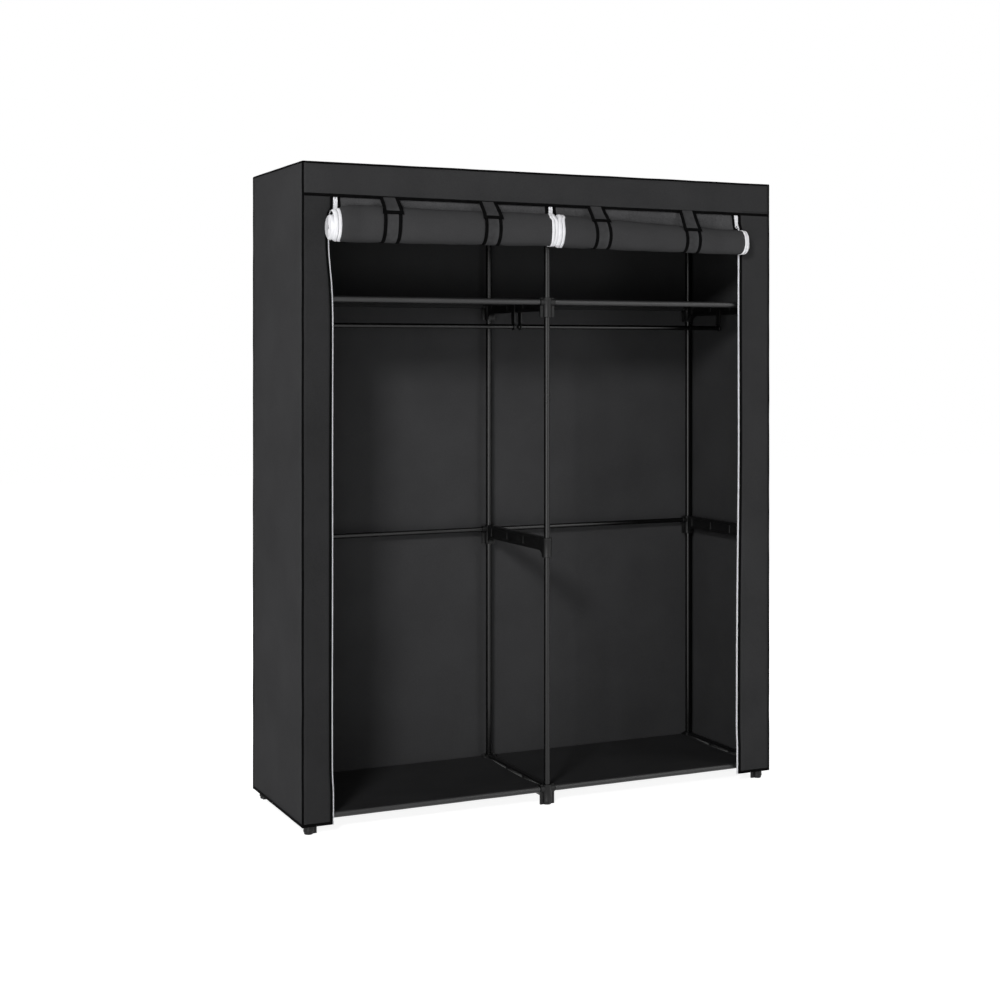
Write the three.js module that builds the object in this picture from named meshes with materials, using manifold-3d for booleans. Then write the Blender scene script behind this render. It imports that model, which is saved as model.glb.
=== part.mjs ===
// Portable fabric wardrobe: steel tubes plugged into moulded brackets, four cloth shelves,
// two hanging rods, and a sewn cover whose two zipped doors are rolled up and strapped.
// Millimetres. +X to the right, +Y to the back, +Z up, the floor at z = 0.
import * as THREE from "three";
import { mergeVertices } from "three/addons/utils/BufferGeometryUtils.js";
import Module from "manifold-3d";

const wasm = await Module();
wasm.setup();

// Whole wardrobe
const coverWidth = 1400; // outside, over the piping
const coverDepth = 430; // outside, over the piping
const wardrobeHeight = 1700; // floor to the top of the piping
const hemHeight = 23; // floor to the hem of the cover

// Cover cloth and its bindings
const coverCloth = 1.6;
const pipingRadius = 3.2;
const cornerPipingRadius = 3;
const cordSides = 8; // sides of piping cords and of tooth rows
const pipingProud = 1.2; // how far the piping stands out of the cloth
const bindingProud = 0.8; // how far a folded binding stands out of the cloth
const hemBinding = 8; // height of the hem's binding
const valanceBinding = 8; // height of the valance's lower binding
const valanceDrop = 88; // top of the cover to the bottom of the valance
const leftFlapWidth = 80;
const rightFlapWidth = 102;
const flapBinding = 8; // width of the binding on a flap's inner edge
const flapBindingChamfer = 1.2;

// Zips
const zipSetback = 4.5; // front of the cloth to the middle of the tape
const tapeThickness = 1.2;
const tapeReach = 7; // flap binding to the middle of the tooth row
const toothRadius = 1.5;
const zipTopInset = 6; // inside of the top cloth to the top of the teeth
const doorZipDrop = 66; // how far the doors' own tooth rows hang below the valance

// Zip sliders and pulls
const sliderWidth = 11;
const sliderWaist = 8;
const sliderLength = 22;
const sliderWall = 1.2;
const sliderInside = 0.4; // clearance between the slider and the teeth
const sliderSideGap = 0.5; // clearance between the slider and the flap or the door
const sliderBelowValance = 6;
const wedgeWidth = 1.6;
const wedgeLength = 9;
const loopWidth = 1.6;
const loopWall = 1;
const loopHeight = 1.8;
const loopLength = 4.8;
const loopBelowTop = 6;
const pullThickness = 1.2;
const pullWidth = 9;
const pullLength = 30;
const pullBarRadius = 0.6; // bar of the pull that passes through the loop
const pullWindowWidth = 3;
const pullWindowLength = 4.8; // axis of the bar to the lower end of the window
const pullHoleRadius = 2.4;
const pullPlay = 0.3;
const hemStop = 6; // slider to the hem's binding when it is fully down
const centreZipTravelStop = 2; // slider to the lower end of the doors' teeth

// Tubes
const postRadius = 8;
const postWall = 1;
const railRadius = 6.5;
const railWall = 0.8;
const tubeSides = 12;
const tubeClearance = 0.3; // between a tube and its socket, round it and at its end

// Moulded brackets
const postInset = 26; // outside of the cover to a post's axis
const barrelRadius = 13.5;
const barrelSides = 16;
const barrelHeight = 53;
const postSocketDepth = 22;
const beamHeight = 36;
const beamWidth = 16;
const gussetToe = 2; // barrel to the foot of the gusset's curve
const gussetSteps = 5;
const pocketDepth = 4;
const pocketRim = 6;
const pocketRib = 6;
const pocketCount = 3;
const pocketEndRoom = 22; // barrel to the first pocket
const bossRadius = 10;
const bossReach = 21; // post axis to the end of a boss
const bossWeb = 6;
const railSocketDepth = 10;
const railBelowTop = 12; // top of a bracket to the rail's axis
const shelfBracketDrop = 334; // top of the wardrobe to the top of the shelf brackets
const midBracketHeightShare = 0.5256; // of the shelf brackets' height
const seatGap = 0.3; // between pieces that touch

// Hanging rods
const rodRadius = 6.5;
const rodWall = 0.8;
const rodPastHanger = 4;
const hangerThickness = 4;
const hangerStrip = 20;
const hangerSaddle = 3;
const hangerLip = 12;
const rodBelowBracketTop = 75;
const rodPlay = 0.4;
const hangerEyeWall = 3.6;

// Cloth shelves
const shelfCloth = 1.6;
const shelfSag = 9;
const shelfSagSteps = 8;
const shelfSideGap = 2; // end of a boss to the edge of the cloth

// Rolled doors
const rollBehind = 3; // front of the cover's cloth to the back of the roll
const rollDepthShare = 0.61; // a hanging roll is squeezed to this share of its height
const rollSheet = 3; // door cloth with its lining and tape
const rollPitch = 5.2; // one turn to the next
const rollTurns = 3;
const rollSteps = 14; // steps in one turn
const doorCloth = 1.6;
const doorBendBelowValance = 6;
const rollCentreTelescope = 1.5; // how far the core stands out where the rolls meet
const rollCoreShare = 0.5; // share of the roll's radius within which the core stands fully out
const rollCentreGap = 7; // half the gap between the two rolls
const strapPinch = 1.5; // how much a strap draws the roll in
const leftRoll = {
  outerRadius: 44.5,
  innerRadius: 44,
  outerDrop: 75.5, // valance's lower edge to the roll's axis
  innerDrop: 70,
  pastZip: 16.5, // how far the roll's end stands past the zip
  telescope: 12.5, // how far the core stands out of that end
};
const rightRoll = {
  outerRadius: 34,
  innerRadius: 44,
  outerDrop: 85,
  innerDrop: 70,
  pastZip: 12,
  telescope: 2,
};

// Straps
const strapWidth = 42;
const strapThickness = 1.5;
const strapGap = 0.5;
const strapSteps = 10;
const strapTabLength = 42;
const strapTabSetback = 1.2; // valance's front to the strap's top
// Shares of the way from the wardrobe's middle to the zip at the side
const strapPlaceShares = { left: [0.767, 0.312], right: [0.232, 0.712] };

// Numbers that only help the geometry
const weld = 0.001;
const overrun = 5; // how far a cut runs past what it cuts

// Places worked out from the sizes
const clothX = coverWidth / 2 - pipingProud;
const clothDepth = coverDepth - 2 * pipingProud;
const clothTop = wardrobeHeight - pipingProud;
const innerTop = clothTop - coverCloth;
const valanceBottom = wardrobeHeight - valanceDrop;
const shelfBracketTop = wardrobeHeight - shelfBracketDrop;
const midBracketTop = shelfBracketTop * midBracketHeightShare;
const postX = clothX + pipingProud - postInset;
const frontPostY = postInset - pipingProud;
const backPostY = clothDepth + pipingProud - postInset;
const midDepth = (frontPostY + backPostY) / 2;
const topBracketTop = innerTop - seatGap;
const flapEdge = {
  left: -coverWidth / 2 + leftFlapWidth,
  right: coverWidth / 2 - rightFlapWidth,
};
const zipX = { left: flapEdge.left + tapeReach, right: flapEdge.right - tapeReach };
const strapPlaces = {
  left: strapPlaceShares.left.map((share) => share * zipX.left),
  right: strapPlaceShares.right.map((share) => share * zipX.right),
};
const rowShift = wedgeWidth / 2 + sliderInside + toothRadius; // slider's middle to each row
const zipTop = innerTop - zipTopInset;
const doorTop = wardrobeHeight - 2 * pipingRadius - seatGap; // just under the front piping
const sliderX = { left: zipX.left + rowShift, centre: 0, right: zipX.right - rowShift };
const sliderTop = valanceBottom - sliderBelowValance;

// Booleans need one closed solid with shared vertices.
function solid(geometry) {
  const bare = geometry.clone();
  bare.deleteAttribute("normal");
  bare.deleteAttribute("uv");
  const merged = mergeVertices(bare, weld);
  return new wasm.Manifold(
    new wasm.Mesh({
      numProp: 3,
      vertProperties: merged.attributes.position.array,
      triVerts: new Uint32Array(merged.index.array),
    }),
  );
}

function union(solids) {
  return solids.reduce((whole, next) => whole.add(next));
}

function block([x0, x1], [y0, y1], [z0, z1]) {
  const box = new THREE.BoxGeometry(x1 - x0, y1 - y0, z1 - z0);
  return solid(box.translate((x0 + x1) / 2, (y0 + y1) / 2, (z0 + z1) / 2));
}

// A round bar along one axis, from one end to the other, centred on the other two.
function bar(axis, from, to, radius, centre, sides = tubeSides) {
  const round = new THREE.CylinderGeometry(radius, radius, to - from, sides);
  const middle = (from + to) / 2;
  if (axis === "x") {
    round.rotateZ(-Math.PI / 2).translate(middle, centre[0], centre[1]);
  } else if (axis === "y") {
    round.translate(centre[0], middle, centre[1]);
  } else {
    round.rotateX(Math.PI / 2).translate(centre[0], centre[1], middle);
  }
  return solid(round);
}

function tube(axis, from, to, radius, wall, centre) {
  const bore = bar(axis, from - overrun, to + overrun, radius - wall, centre);
  return bar(axis, from, to, radius, centre).subtract(bore);
}

// An outline in y and z, run along x.
function runAlongX(outline, x0, x1) {
  const run = new THREE.ExtrudeGeometry(outline, {
    depth: x1 - x0,
    bevelEnabled: false,
    curveSegments: tubeSides / 4,
  });
  const turn = new THREE.Matrix4().makeBasis(
    new THREE.Vector3(0, 1, 0),
    new THREE.Vector3(0, 0, 1),
    new THREE.Vector3(1, 0, 0),
  );
  return solid(run.applyMatrix4(turn).translate(x0, 0, 0));
}

// An outline in x and z, run along y.
function runAlongY(outline, y0, y1) {
  const run = new THREE.ExtrudeGeometry(outline, {
    depth: y1 - y0,
    bevelEnabled: false,
    curveSegments: tubeSides / 4,
  });
  return solid(run.rotateX(Math.PI / 2).translate(0, y1, 0));
}

// An outline in x and y, run along z.
function runAlongZ(outline, z0, z1) {
  const run = new THREE.ExtrudeGeometry(outline, { depth: z1 - z0, bevelEnabled: false });
  return solid(run.translate(0, 0, z0));
}

function roundHole(u, v, radius, sides = tubeSides) {
  const points = [];
  for (let i = 0; i < sides; i += 1) {
    const angle = (2 * Math.PI * i) / sides;
    points.push(new THREE.Vector2(u + radius * Math.cos(angle), v + radius * Math.sin(angle)));
  }
  return new THREE.Path(points);
}

// A mesh of named material from a finished solid.
const looks = {
  coverCloth: [0x2b2c2e, 0.95, 0],
  doorCloth: [0x35363a, 0.95, 0],
  shelfCloth: [0x1d1e20, 0.95, 0],
  strapTape: [0x232326, 0.9, 0],
  paintedTube: [0x6f7276, 0.4, 0.6],
  mouldedPlastic: [0x17181a, 0.6, 0],
  zipPlastic: [0xe9e9e7, 0.5, 0],
};
const materials = {};
for (const [name, [color, roughness, metalness]] of Object.entries(looks)) {
  materials[name] = new THREE.MeshStandardMaterial({ name, color, roughness, metalness });
}

const wardrobe = new THREE.Group();
wardrobe.name = "fabric_wardrobe";

function place(name, body, material, parent = wardrobe) {
  const made = body.asOriginal().simplify(weld).getMesh();
  const shared = new THREE.BufferGeometry();
  shared.setAttribute("position", new THREE.BufferAttribute(made.vertProperties, 3));
  shared.setIndex(new THREE.BufferAttribute(made.triVerts, 1));
  const geometry = shared.toNonIndexed();
  geometry.computeVertexNormals();
  const mesh = new THREE.Mesh(geometry, materials[material]);
  mesh.name = name;
  parent.add(mesh);
  return mesh;
}

// Bracket levels, from the floor up. A level says which barrels carry rails and which
// ends of the barrels take posts.
const levels = {
  bottom: { top: barrelHeight, frontRail: true, postsBelow: false, postsAbove: true },
  mid: { top: midBracketTop, frontRail: false, postsBelow: true, postsAbove: true },
  shelf: { top: shelfBracketTop, frontRail: true, postsBelow: true, postsAbove: true },
  top: { top: topBracketTop, frontRail: true, postsBelow: true, postsAbove: false },
};
const railHeight = (level) => levels[level].top - railBelowTop;
const columns = { left: -postX, middle: 0, right: postX };

// The side view of a bracket: a beam that flares down to the foot of each barrel.
function beamOutline(top) {
  const bottom = top - barrelHeight;
  const curve = barrelHeight - beamHeight;
  const frontToe = frontPostY + barrelRadius + gussetToe;
  const backToe = backPostY - barrelRadius - gussetToe;
  const outline = new THREE.Shape();
  outline.moveTo(frontPostY, bottom);
  outline.lineTo(frontToe, bottom);
  for (let i = 1; i <= gussetSteps; i += 1) {
    const angle = (Math.PI / 2) * (i / gussetSteps);
    outline.lineTo(
      frontToe + curve * (1 - Math.cos(angle)),
      bottom + curve * Math.sin(angle),
    );
  }
  for (let i = gussetSteps; i >= 0; i -= 1) {
    const angle = (Math.PI / 2) * (i / gussetSteps);
    outline.lineTo(
      backToe - curve * (1 - Math.cos(angle)),
      bottom + curve * Math.sin(angle),
    );
  }
  outline.lineTo(backPostY, bottom);
  outline.lineTo(backPostY, top);
  outline.lineTo(frontPostY, top);
  return outline;
}

// Shallow pockets in both sides of the beam, with ribs between them.
function beamPockets(x, top) {
  const from = frontPostY + barrelRadius + pocketEndRoom;
  const to = backPostY - barrelRadius - pocketEndRoom;
  const length = (to - from - (pocketCount - 1) * pocketRib) / pocketCount;
  const height = [top - beamHeight + pocketRim, top - pocketRim];
  const cuts = [];
  for (let i = 0; i < pocketCount; i += 1) {
    const start = from + i * (length + pocketRib);
    const span = [start, start + length];
    const face = beamWidth / 2;
    cuts.push(block([x - face - overrun, x - face + pocketDepth], span, height));
    cuts.push(block([x + face - pocketDepth, x + face + overrun], span, height));
  }
  return cuts;
}

// A moulded bracket: two barrels for posts, the beam between them, and a boss on a full
// height web for each rail.
function bracket(level, column) {
  const { top, frontRail, postsBelow, postsAbove } = levels[level];
  const x = columns[column];
  const bottom = top - barrelHeight;
  const sides = { left: [1], middle: [-1, 1], right: [-1] }[column];
  const railZ = top - railBelowTop;
  const socketRadius = postRadius + tubeClearance;
  const solids = [runAlongX(beamOutline(top), x - beamWidth / 2, x + beamWidth / 2)];
  const cuts = beamPockets(x, top);
  for (const y of [frontPostY, backPostY]) {
    solids.push(bar("z", bottom, top, barrelRadius, [x, y], barrelSides));
    if (postsAbove) {
      cuts.push(bar("z", top - postSocketDepth, top + overrun, socketRadius, [x, y]));
    }
    if (postsBelow) {
      cuts.push(bar("z", bottom - overrun, bottom + postSocketDepth, socketRadius, [x, y]));
    }
    if (y === frontPostY && !frontRail) continue;
    for (const side of sides) {
      const span = (from, to) => [x + side * from, x + side * to].sort((a, b) => a - b);
      const [bossFrom, bossTo] = span(postRadius, bossReach);
      const webY = [y - bossWeb / 2, y + bossWeb / 2];
      solids.push(bar("x", bossFrom, bossTo, bossRadius, [y, railZ]));
      solids.push(block(span(postRadius, bossReach), webY, [bottom, top]));
      if (level === "top") continue;
      const [boreFrom, boreTo] = span(bossReach - railSocketDepth, bossReach + overrun);
      cuts.push(bar("x", boreFrom, boreTo, railRadius + tubeClearance, [y, railZ]));
    }
  }
  let body = union(solids);
  // The webs and bosses start inside the barrel, so the post sockets are cut last.
  for (const cut of cuts) body = body.subtract(cut);
  return body;
}

// Posts run from socket to socket.
function post(lower, upper, column, y) {
  const from = levels[lower].top - postSocketDepth + tubeClearance;
  const to = levels[upper].top - barrelHeight + postSocketDepth - tubeClearance;
  return tube("z", from, to, postRadius, postWall, [columns[column], y]);
}

// A rail between the bosses of the middle bracket and one side bracket.
function railSpan(side) {
  const inset = bossReach - railSocketDepth + tubeClearance;
  return side === "left" ? [-postX + inset, -inset] : [inset, postX - inset];
}

function rail(level, side, y) {
  const [from, to] = railSpan(side);
  return tube("x", from, to, railRadius, railWall, [y, railHeight(level)]);
}

// The top level stays together when the wardrobe is dressed: its three brackets and four
// rails are one rigid frame under the top cloth.
function topFrame() {
  const pieces = Object.keys(columns).map((column) => bracket("top", column));
  for (const side of ["left", "right"]) {
    const [from, to] = railSpan(side);
    for (const y of [frontPostY, backPostY]) {
      pieces.push(bar("x", from, to, railRadius, [y, railHeight("top")]));
    }
  }
  return union(pieces);
}

const frame = new THREE.Group();
frame.name = "frame";
wardrobe.add(frame);

for (const column of Object.keys(columns)) {
  for (const level of ["bottom", "mid", "shelf"]) {
    place(level + "_bracket_" + column, bracket(level, column), "mouldedPlastic", frame);
  }
  for (const [row, y] of [["front", frontPostY], ["back", backPostY]]) {
    const name = "_post_" + row + "_" + column;
    place("lower" + name, post("bottom", "mid", column, y), "paintedTube", frame);
    place("middle" + name, post("mid", "shelf", column, y), "paintedTube", frame);
    place("upper" + name, post("shelf", "top", column, y), "paintedTube", frame);
  }
}
place("top_frame", topFrame(), "mouldedPlastic", frame);
for (const side of ["left", "right"]) {
  for (const [level, row, y] of [
    ["bottom", "front", frontPostY],
    ["bottom", "back", backPostY],
    ["mid", "back", backPostY],
    ["shelf", "front", frontPostY],
    ["shelf", "back", backPostY],
  ]) {
    const name = level + "_rail_" + row + "_" + side;
    place(name, rail(level, side, y), "paintedTube", frame);
  }
}

// A cloth shelf: a sleeve round each rail and a deck that sags between them.
function shelf(level, side) {
  const z = railHeight(level);
  const sleeveInside = railRadius + seatGap;
  const sleeve = sleeveInside + shelfCloth;
  const span = backPostY - frontPostY;
  const outline = new THREE.Shape();
  const deckTop = (share) => z + sleeve - shelfSag * 4 * share * (1 - share);
  outline.moveTo(frontPostY, z + sleeve);
  for (let i = 1; i < shelfSagSteps; i += 1) {
    const share = i / shelfSagSteps;
    outline.lineTo(frontPostY + span * share, deckTop(share));
  }
  const quarter = tubeSides / 4;
  const ringPoint = (y, step) => {
    const angle = (Math.PI / 2) * (1 - step / quarter);
    outline.lineTo(y + sleeve * Math.cos(angle), z + sleeve * Math.sin(angle));
  };
  for (let step = 0; step <= 3 * quarter; step += 1) ringPoint(backPostY, step);
  for (let i = shelfSagSteps - 1; i > 0; i -= 1) {
    const share = i / shelfSagSteps;
    const low = deckTop(share) - shelfCloth;
    outline.lineTo(frontPostY + span * share, low);
  }
  for (let step = quarter; step < 4 * quarter; step += 1) ringPoint(frontPostY, step);
  outline.holes.push(roundHole(frontPostY, z, sleeveInside));
  outline.holes.push(roundHole(backPostY, z, sleeveInside));
  const edges = [bossReach + shelfSideGap, postX - bossReach - shelfSideGap];
  const [x0, x1] = side === "left" ? [-edges[1], -edges[0]] : edges;
  return runAlongX(outline, x0, x1);
}

const shelves = new THREE.Group();
shelves.name = "shelves";
wardrobe.add(shelves);
for (const side of ["left", "right"]) {
  place("lower_shelf_" + side, shelf("bottom", side), "shelfCloth", shelves);
  place("upper_shelf_" + side, shelf("shelf", side), "shelfCloth", shelves);
}

// Hangers and hanging rods under the beams of the shelf level
const rodZ = shelfBracketTop - rodBelowBracketTop;
const hangerFace = beamWidth / 2 + seatGap; // beam's middle to the near face of the plate

// A plate beside the beam with an eye for the rod, seen from the side.
function hangerPlate(x0, x1) {
  const eye = rodRadius + rodPlay + hangerEyeWall;
  const strip = hangerStrip / 2;
  const top = shelfBracketTop + seatGap + hangerSaddle;
  const start = Math.asin(Math.min(1, strip / eye));
  const outline = new THREE.Shape();
  outline.moveTo(midDepth - strip, top);
  const steps = tubeSides;
  for (let i = 0; i <= steps; i += 1) {
    const angle = Math.PI / 2 + start + ((2 * Math.PI - 2 * start) * i) / steps;
    outline.lineTo(midDepth + eye * Math.cos(angle), rodZ + eye * Math.sin(angle));
  }
  outline.lineTo(midDepth + strip, top);
  outline.holes.push(roundHole(midDepth, rodZ, rodRadius + rodPlay));
  return runAlongX(outline, x0, x1);
}

function hanger(column) {
  const x = columns[column];
  const sides = { left: [1], middle: [-1, 1], right: [-1] }[column];
  const reach = hangerFace + hangerThickness;
  const y = [midDepth - hangerStrip / 2, midDepth + hangerStrip / 2];
  const top = shelfBracketTop + seatGap;
  const pieces = [block([x - reach, x + reach], y, [top, top + hangerSaddle])];
  for (const side of [-1, 1]) {
    const plate = [x + side * hangerFace, x + side * reach].sort((a, b) => a - b);
    if (sides.includes(side)) {
      pieces.push(hangerPlate(plate[0], plate[1]));
    } else {
      pieces.push(block(plate, y, [top - hangerLip, top + hangerSaddle]));
    }
  }
  return union(pieces);
}

function hangingRod(side) {
  const near = hangerFace - rodPastHanger;
  const far = postX - near;
  const [from, to] = side === "left" ? [-far, -near] : [near, far];
  return tube("x", from, to, rodRadius, rodWall, [midDepth, rodZ]);
}

const hanging = new THREE.Group();
hanging.name = "hanging";
wardrobe.add(hanging);
for (const column of Object.keys(columns)) {
  place("rod_hanger_" + column, hanger(column), "mouldedPlastic", hanging);
}
for (const side of ["left", "right"]) {
  place("hanging_rod_" + side, hangingRod(side), "paintedTube", hanging);
}

// Sewn cover: a box of cloth open below, with a door mouth in front
function coverShell() {
  const width = [-clothX, clothX];
  const depth = [0, clothDepth];
  const below = hemHeight - overrun;
  const inside = [-clothX + coverCloth, clothX - coverCloth];
  const insideDepth = [coverCloth, clothDepth - coverCloth];
  const mouthX = [flapEdge.left, flapEdge.right];
  const mouth = block(mouthX, [-overrun, coverCloth + overrun], [below, valanceBottom]);
  const shell = block(width, depth, [hemHeight, clothTop])
    .subtract(block(inside, insideDepth, [below, innerTop]))
    .subtract(mouth);
  const grown = ([from, to], by) => [from - by, to + by];
  const hemTop = hemHeight + hemBinding;
  const hem = block(grown(width, bindingProud), grown(depth, bindingProud), [hemHeight, hemTop])
    .subtract(
      block(grown(inside, -bindingProud), grown(insideDepth, -bindingProud), [
        below,
        hemTop + overrun,
      ]),
    )
    .subtract(mouth);
  const valance = block(
    width,
    [-bindingProud, coverCloth + bindingProud],
    [valanceBottom, valanceBottom + valanceBinding],
  );
  return union([shell, hem, valance]);
}

// Round piping: a mitred ring round the top and a cord down each corner, a little slimmer
// than the ring that it runs into.
function piping() {
  const sunk = pipingRadius - pipingProud;
  const x = clothX - sunk;
  const y = [sunk, clothDepth - sunk];
  const z = clothTop - sunk;
  const sides = cordSides;
  const positions = [];
  const indices = [];
  for (let i = 0; i < sides; i += 1) {
    const angle = (2 * Math.PI * i) / sides;
    const out = pipingRadius * Math.cos(angle);
    const up = z + pipingRadius * Math.sin(angle);
    positions.push(x + out, y[1] + out, up, -x - out, y[1] + out, up);
    positions.push(-x - out, y[0] - out, up, x + out, y[0] - out, up);
    for (let corner = 0; corner < 4; corner += 1) {
      const a = 4 * i + corner;
      const b = 4 * i + ((corner + 1) % 4);
      const above = 4 * (((i + 1) % sides) - i);
      indices.push(a, b, b + above, a, b + above, a + above);
    }
  }
  const ring = new THREE.BufferGeometry();
  ring.setAttribute("position", new THREE.Float32BufferAttribute(positions, 3));
  ring.setIndex(indices);
  const cords = [solid(ring)];
  for (const side of [-x, x]) {
    for (const corner of y) {
      cords.push(bar("z", hemHeight, z, cornerPipingRadius, [side, corner], sides));
    }
  }
  return union(cords);
}

// Binding, tape and tooth row on the inner edge of one flap. Behind the valance only the
// part behind its cloth goes on up.
function flapEdging(side) {
  const inward = side === "left" ? 1 : -1;
  const edge = flapEdge[side];
  const outer = edge - inward * flapBinding;
  const [x0, x1] = [outer, edge].sort((a, b) => a - b);
  const back = zipSetback + tapeThickness / 2 + bindingProud;
  const c = flapBindingChamfer;
  const outline = new THREE.Shape();
  outline.moveTo(x0 + c, -bindingProud);
  outline.lineTo(x1 - c, -bindingProud);
  outline.lineTo(x1, c - bindingProud);
  outline.lineTo(x1, back - c);
  outline.lineTo(x1 - c, back);
  outline.lineTo(x0 + c, back);
  outline.lineTo(x0, back - c);
  outline.lineTo(x0, c - bindingProud);
  const tapeY = [zipSetback - tapeThickness / 2, zipSetback + tapeThickness / 2];
  const tapeX = [edge - inward, zipX[side]].sort((a, b) => a - b);
  return union([
    runAlongZ(outline, hemHeight, valanceBottom + valanceBinding / 2),
    block([x0, x1], [coverCloth / 2, back], [valanceBottom, innerTop + coverCloth / 2]),
    block(tapeX, tapeY, [hemHeight, zipTop]),
    bar("z", hemHeight, zipTop, toothRadius, [zipX[side], zipSetback], cordSides),
  ]);
}

const sewnCover = union([coverShell(), piping(), flapEdging("left"), flapEdging("right")]);
place("cover", sewnCover, "coverCloth");

// Rolled doors. A roll is an oval spiral seen from the side; its size and height change
// along its length.
function rollAt(side, x) {
  const roll = side === "left" ? leftRoll : rightRoll;
  const outerX = Math.abs(zipX[side]);
  const share = Math.min(1, Math.max(0, Math.abs(x) / outerX));
  const pinch = strapPlaces[side].includes(x) ? strapPinch : 0;
  const half = THREE.MathUtils.lerp(roll.innerRadius, roll.outerRadius, share) - pinch;
  const drop = THREE.MathUtils.lerp(roll.innerDrop, roll.outerDrop, share);
  const depth = half * rollDepthShare;
  return { depth, half, y: -rollBehind - depth, z: valanceBottom - drop };
}

// The angle at which a straight line from a point touches an oval: +1 for the touch met
// going anticlockwise from the point, -1 for the other.
function touchAngle(point, oval, turn) {
  const u = (point.x - oval.y) / oval.depth;
  const v = (point.y - oval.z) / oval.half;
  return Math.atan2(v, u) + turn * Math.acos(1 / Math.hypot(u, v));
}

function ovalPoint(oval, angle, inset) {
  return new THREE.Vector2(
    oval.y + (oval.depth - inset) * Math.cos(angle),
    oval.z + (oval.half - inset) * Math.sin(angle),
  );
}

// The door seen from the side: straight down behind the valance, on to the back of the
// roll, then down and round for a few turns over the packed core.
function doorSection(side, x) {
  const oval = rollAt(side, x);
  const back = zipSetback + doorCloth / 2;
  const bend = new THREE.Vector2(back, valanceBottom - doorBendBelowValance);
  const start = touchAngle(bend, oval, -1);
  const step = (2 * Math.PI) / rollSteps;
  const points = [new THREE.Vector2(back, doorTop), bend];
  const outerSteps = (rollTurns + 1) * rollSteps;
  for (let i = 0; i <= outerSteps; i += 1) {
    points.push(ovalPoint(oval, start - i * step, (rollPitch * i) / rollSteps));
  }
  for (let i = rollTurns * rollSteps; i >= 0; i -= 1) {
    points.push(ovalPoint(oval, start - i * step, (rollPitch * i) / rollSteps + rollSheet));
  }
  points.push(new THREE.Vector2(back - doorCloth, bend.y));
  points.push(new THREE.Vector2(back - doorCloth, doorTop));
  return { oval, points: points.reverse() };
}

// A skin through sections of equal length, closed by flat or drawn-out ends.
function loft(stations) {
  const count = stations[0].points.length;
  const positions = [];
  const indices = [];
  for (const { x, points, outward } of stations) {
    points.forEach((p, i) => positions.push(x + outward[i], p.x, p.y));
  }
  for (let s = 0; s + 1 < stations.length; s += 1) {
    for (let i = 0; i < count; i += 1) {
      const a = s * count + i;
      const b = s * count + ((i + 1) % count);
      indices.push(a, b, b + count, a, b + count, a + count);
    }
  }
  const last = (stations.length - 1) * count;
  for (const [a, b, c] of THREE.ShapeUtils.triangulateShape(stations[0].points, [])) {
    indices.push(a, c, b);
  }
  for (const [a, b, c] of THREE.ShapeUtils.triangulateShape(stations.at(-1).points, [])) {
    indices.push(last + a, last + b, last + c);
  }
  const geometry = new THREE.BufferGeometry();
  geometry.setAttribute("position", new THREE.Float32BufferAttribute(positions, 3));
  geometry.setIndex(indices);
  return solid(geometry);
}

// How far each point of an end stands out: the core slides out past the outer turns.
function telescoped(section, reach, outward) {
  const { oval, points } = section;
  return points.map((p) => {
    const u = (p.x - oval.y) / oval.depth;
    const v = (p.y - oval.z) / oval.half;
    const inside = Math.max(0, 1 - Math.hypot(u, v));
    return outward * reach * Math.min(1, inside / rollCoreShare);
  });
}

function rolledDoor(side) {
  const sign = side === "left" ? -1 : 1;
  const { pastZip, telescope } = side === "left" ? leftRoll : rightRoll;
  const innerX = sign * rollCentreGap;
  const outerX = zipX[side] + sign * pastZip;
  const straps = strapPlaces[side];
  const middle = (straps[0] + straps[1]) / 2;
  const places = [outerX, straps[0], middle, straps[1], innerX].sort((a, b) => a - b);
  const stations = places.map((x) => {
    const section = doorSection(side, x);
    let outward = section.points.map(() => 0);
    if (x === outerX) outward = telescoped(section, telescope, sign);
    if (x === innerX) outward = telescoped(section, rollCentreTelescope, -sign);
    return { x, points: section.points, outward };
  });
  const outerRow = sliderX[side] - sign * rowShift;
  const clothEdge = sliderX[side] - sign * (sliderWidth / 2 + sliderSideGap);
  const centreEdge = sign * (sliderWidth / 2 + sliderSideGap);
  const span = (a, b) => [a, b].sort((p, q) => p - q);
  const zipY = [-rollBehind, zipSetback + overrun];
  const allZ = [hemHeight, wardrobeHeight];
  const roll = loft(stations)
    .subtract(block(span(clothEdge, outerX + sign * (telescope + overrun)), zipY, allZ))
    .subtract(block(span(centreEdge, innerX - sign * overrun), zipY, allZ));
  const tapeY = [zipSetback - tapeThickness / 2, zipSetback + tapeThickness / 2];
  const teethZ = [valanceBottom - doorZipDrop, zipTop];
  const pieces = [roll];
  for (const [row, edge] of [[outerRow, clothEdge], [sign * rowShift, centreEdge]]) {
    const towards = Math.sign(edge - row);
    pieces.push(block(span(row, edge + towards * toothRadius), tapeY, teethZ));
    pieces.push(bar("z", teethZ[0], teethZ[1], toothRadius, [row, zipSetback], cordSides));
  }
  return union(pieces);
}

const doors = new THREE.Group();
doors.name = "doors";
wardrobe.add(doors);
place("rolled_door_left", rolledDoor("left"), "doorCloth", doors);
place("rolled_door_right", rolledDoor("right"), "doorCloth", doors);

// A ribbon of even thickness on the left of a path.
function ribbon(path, thickness) {
  const shifted = path.map((point, i) => {
    const before = path[Math.max(0, i - 1)];
    const after = path[Math.min(path.length - 1, i + 1)];
    const along = after.clone().sub(before).normalize();
    return point.clone().add(new THREE.Vector2(-along.y, along.x).multiplyScalar(thickness));
  });
  return new THREE.Shape([...path, ...shifted.reverse()]);
}

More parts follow.
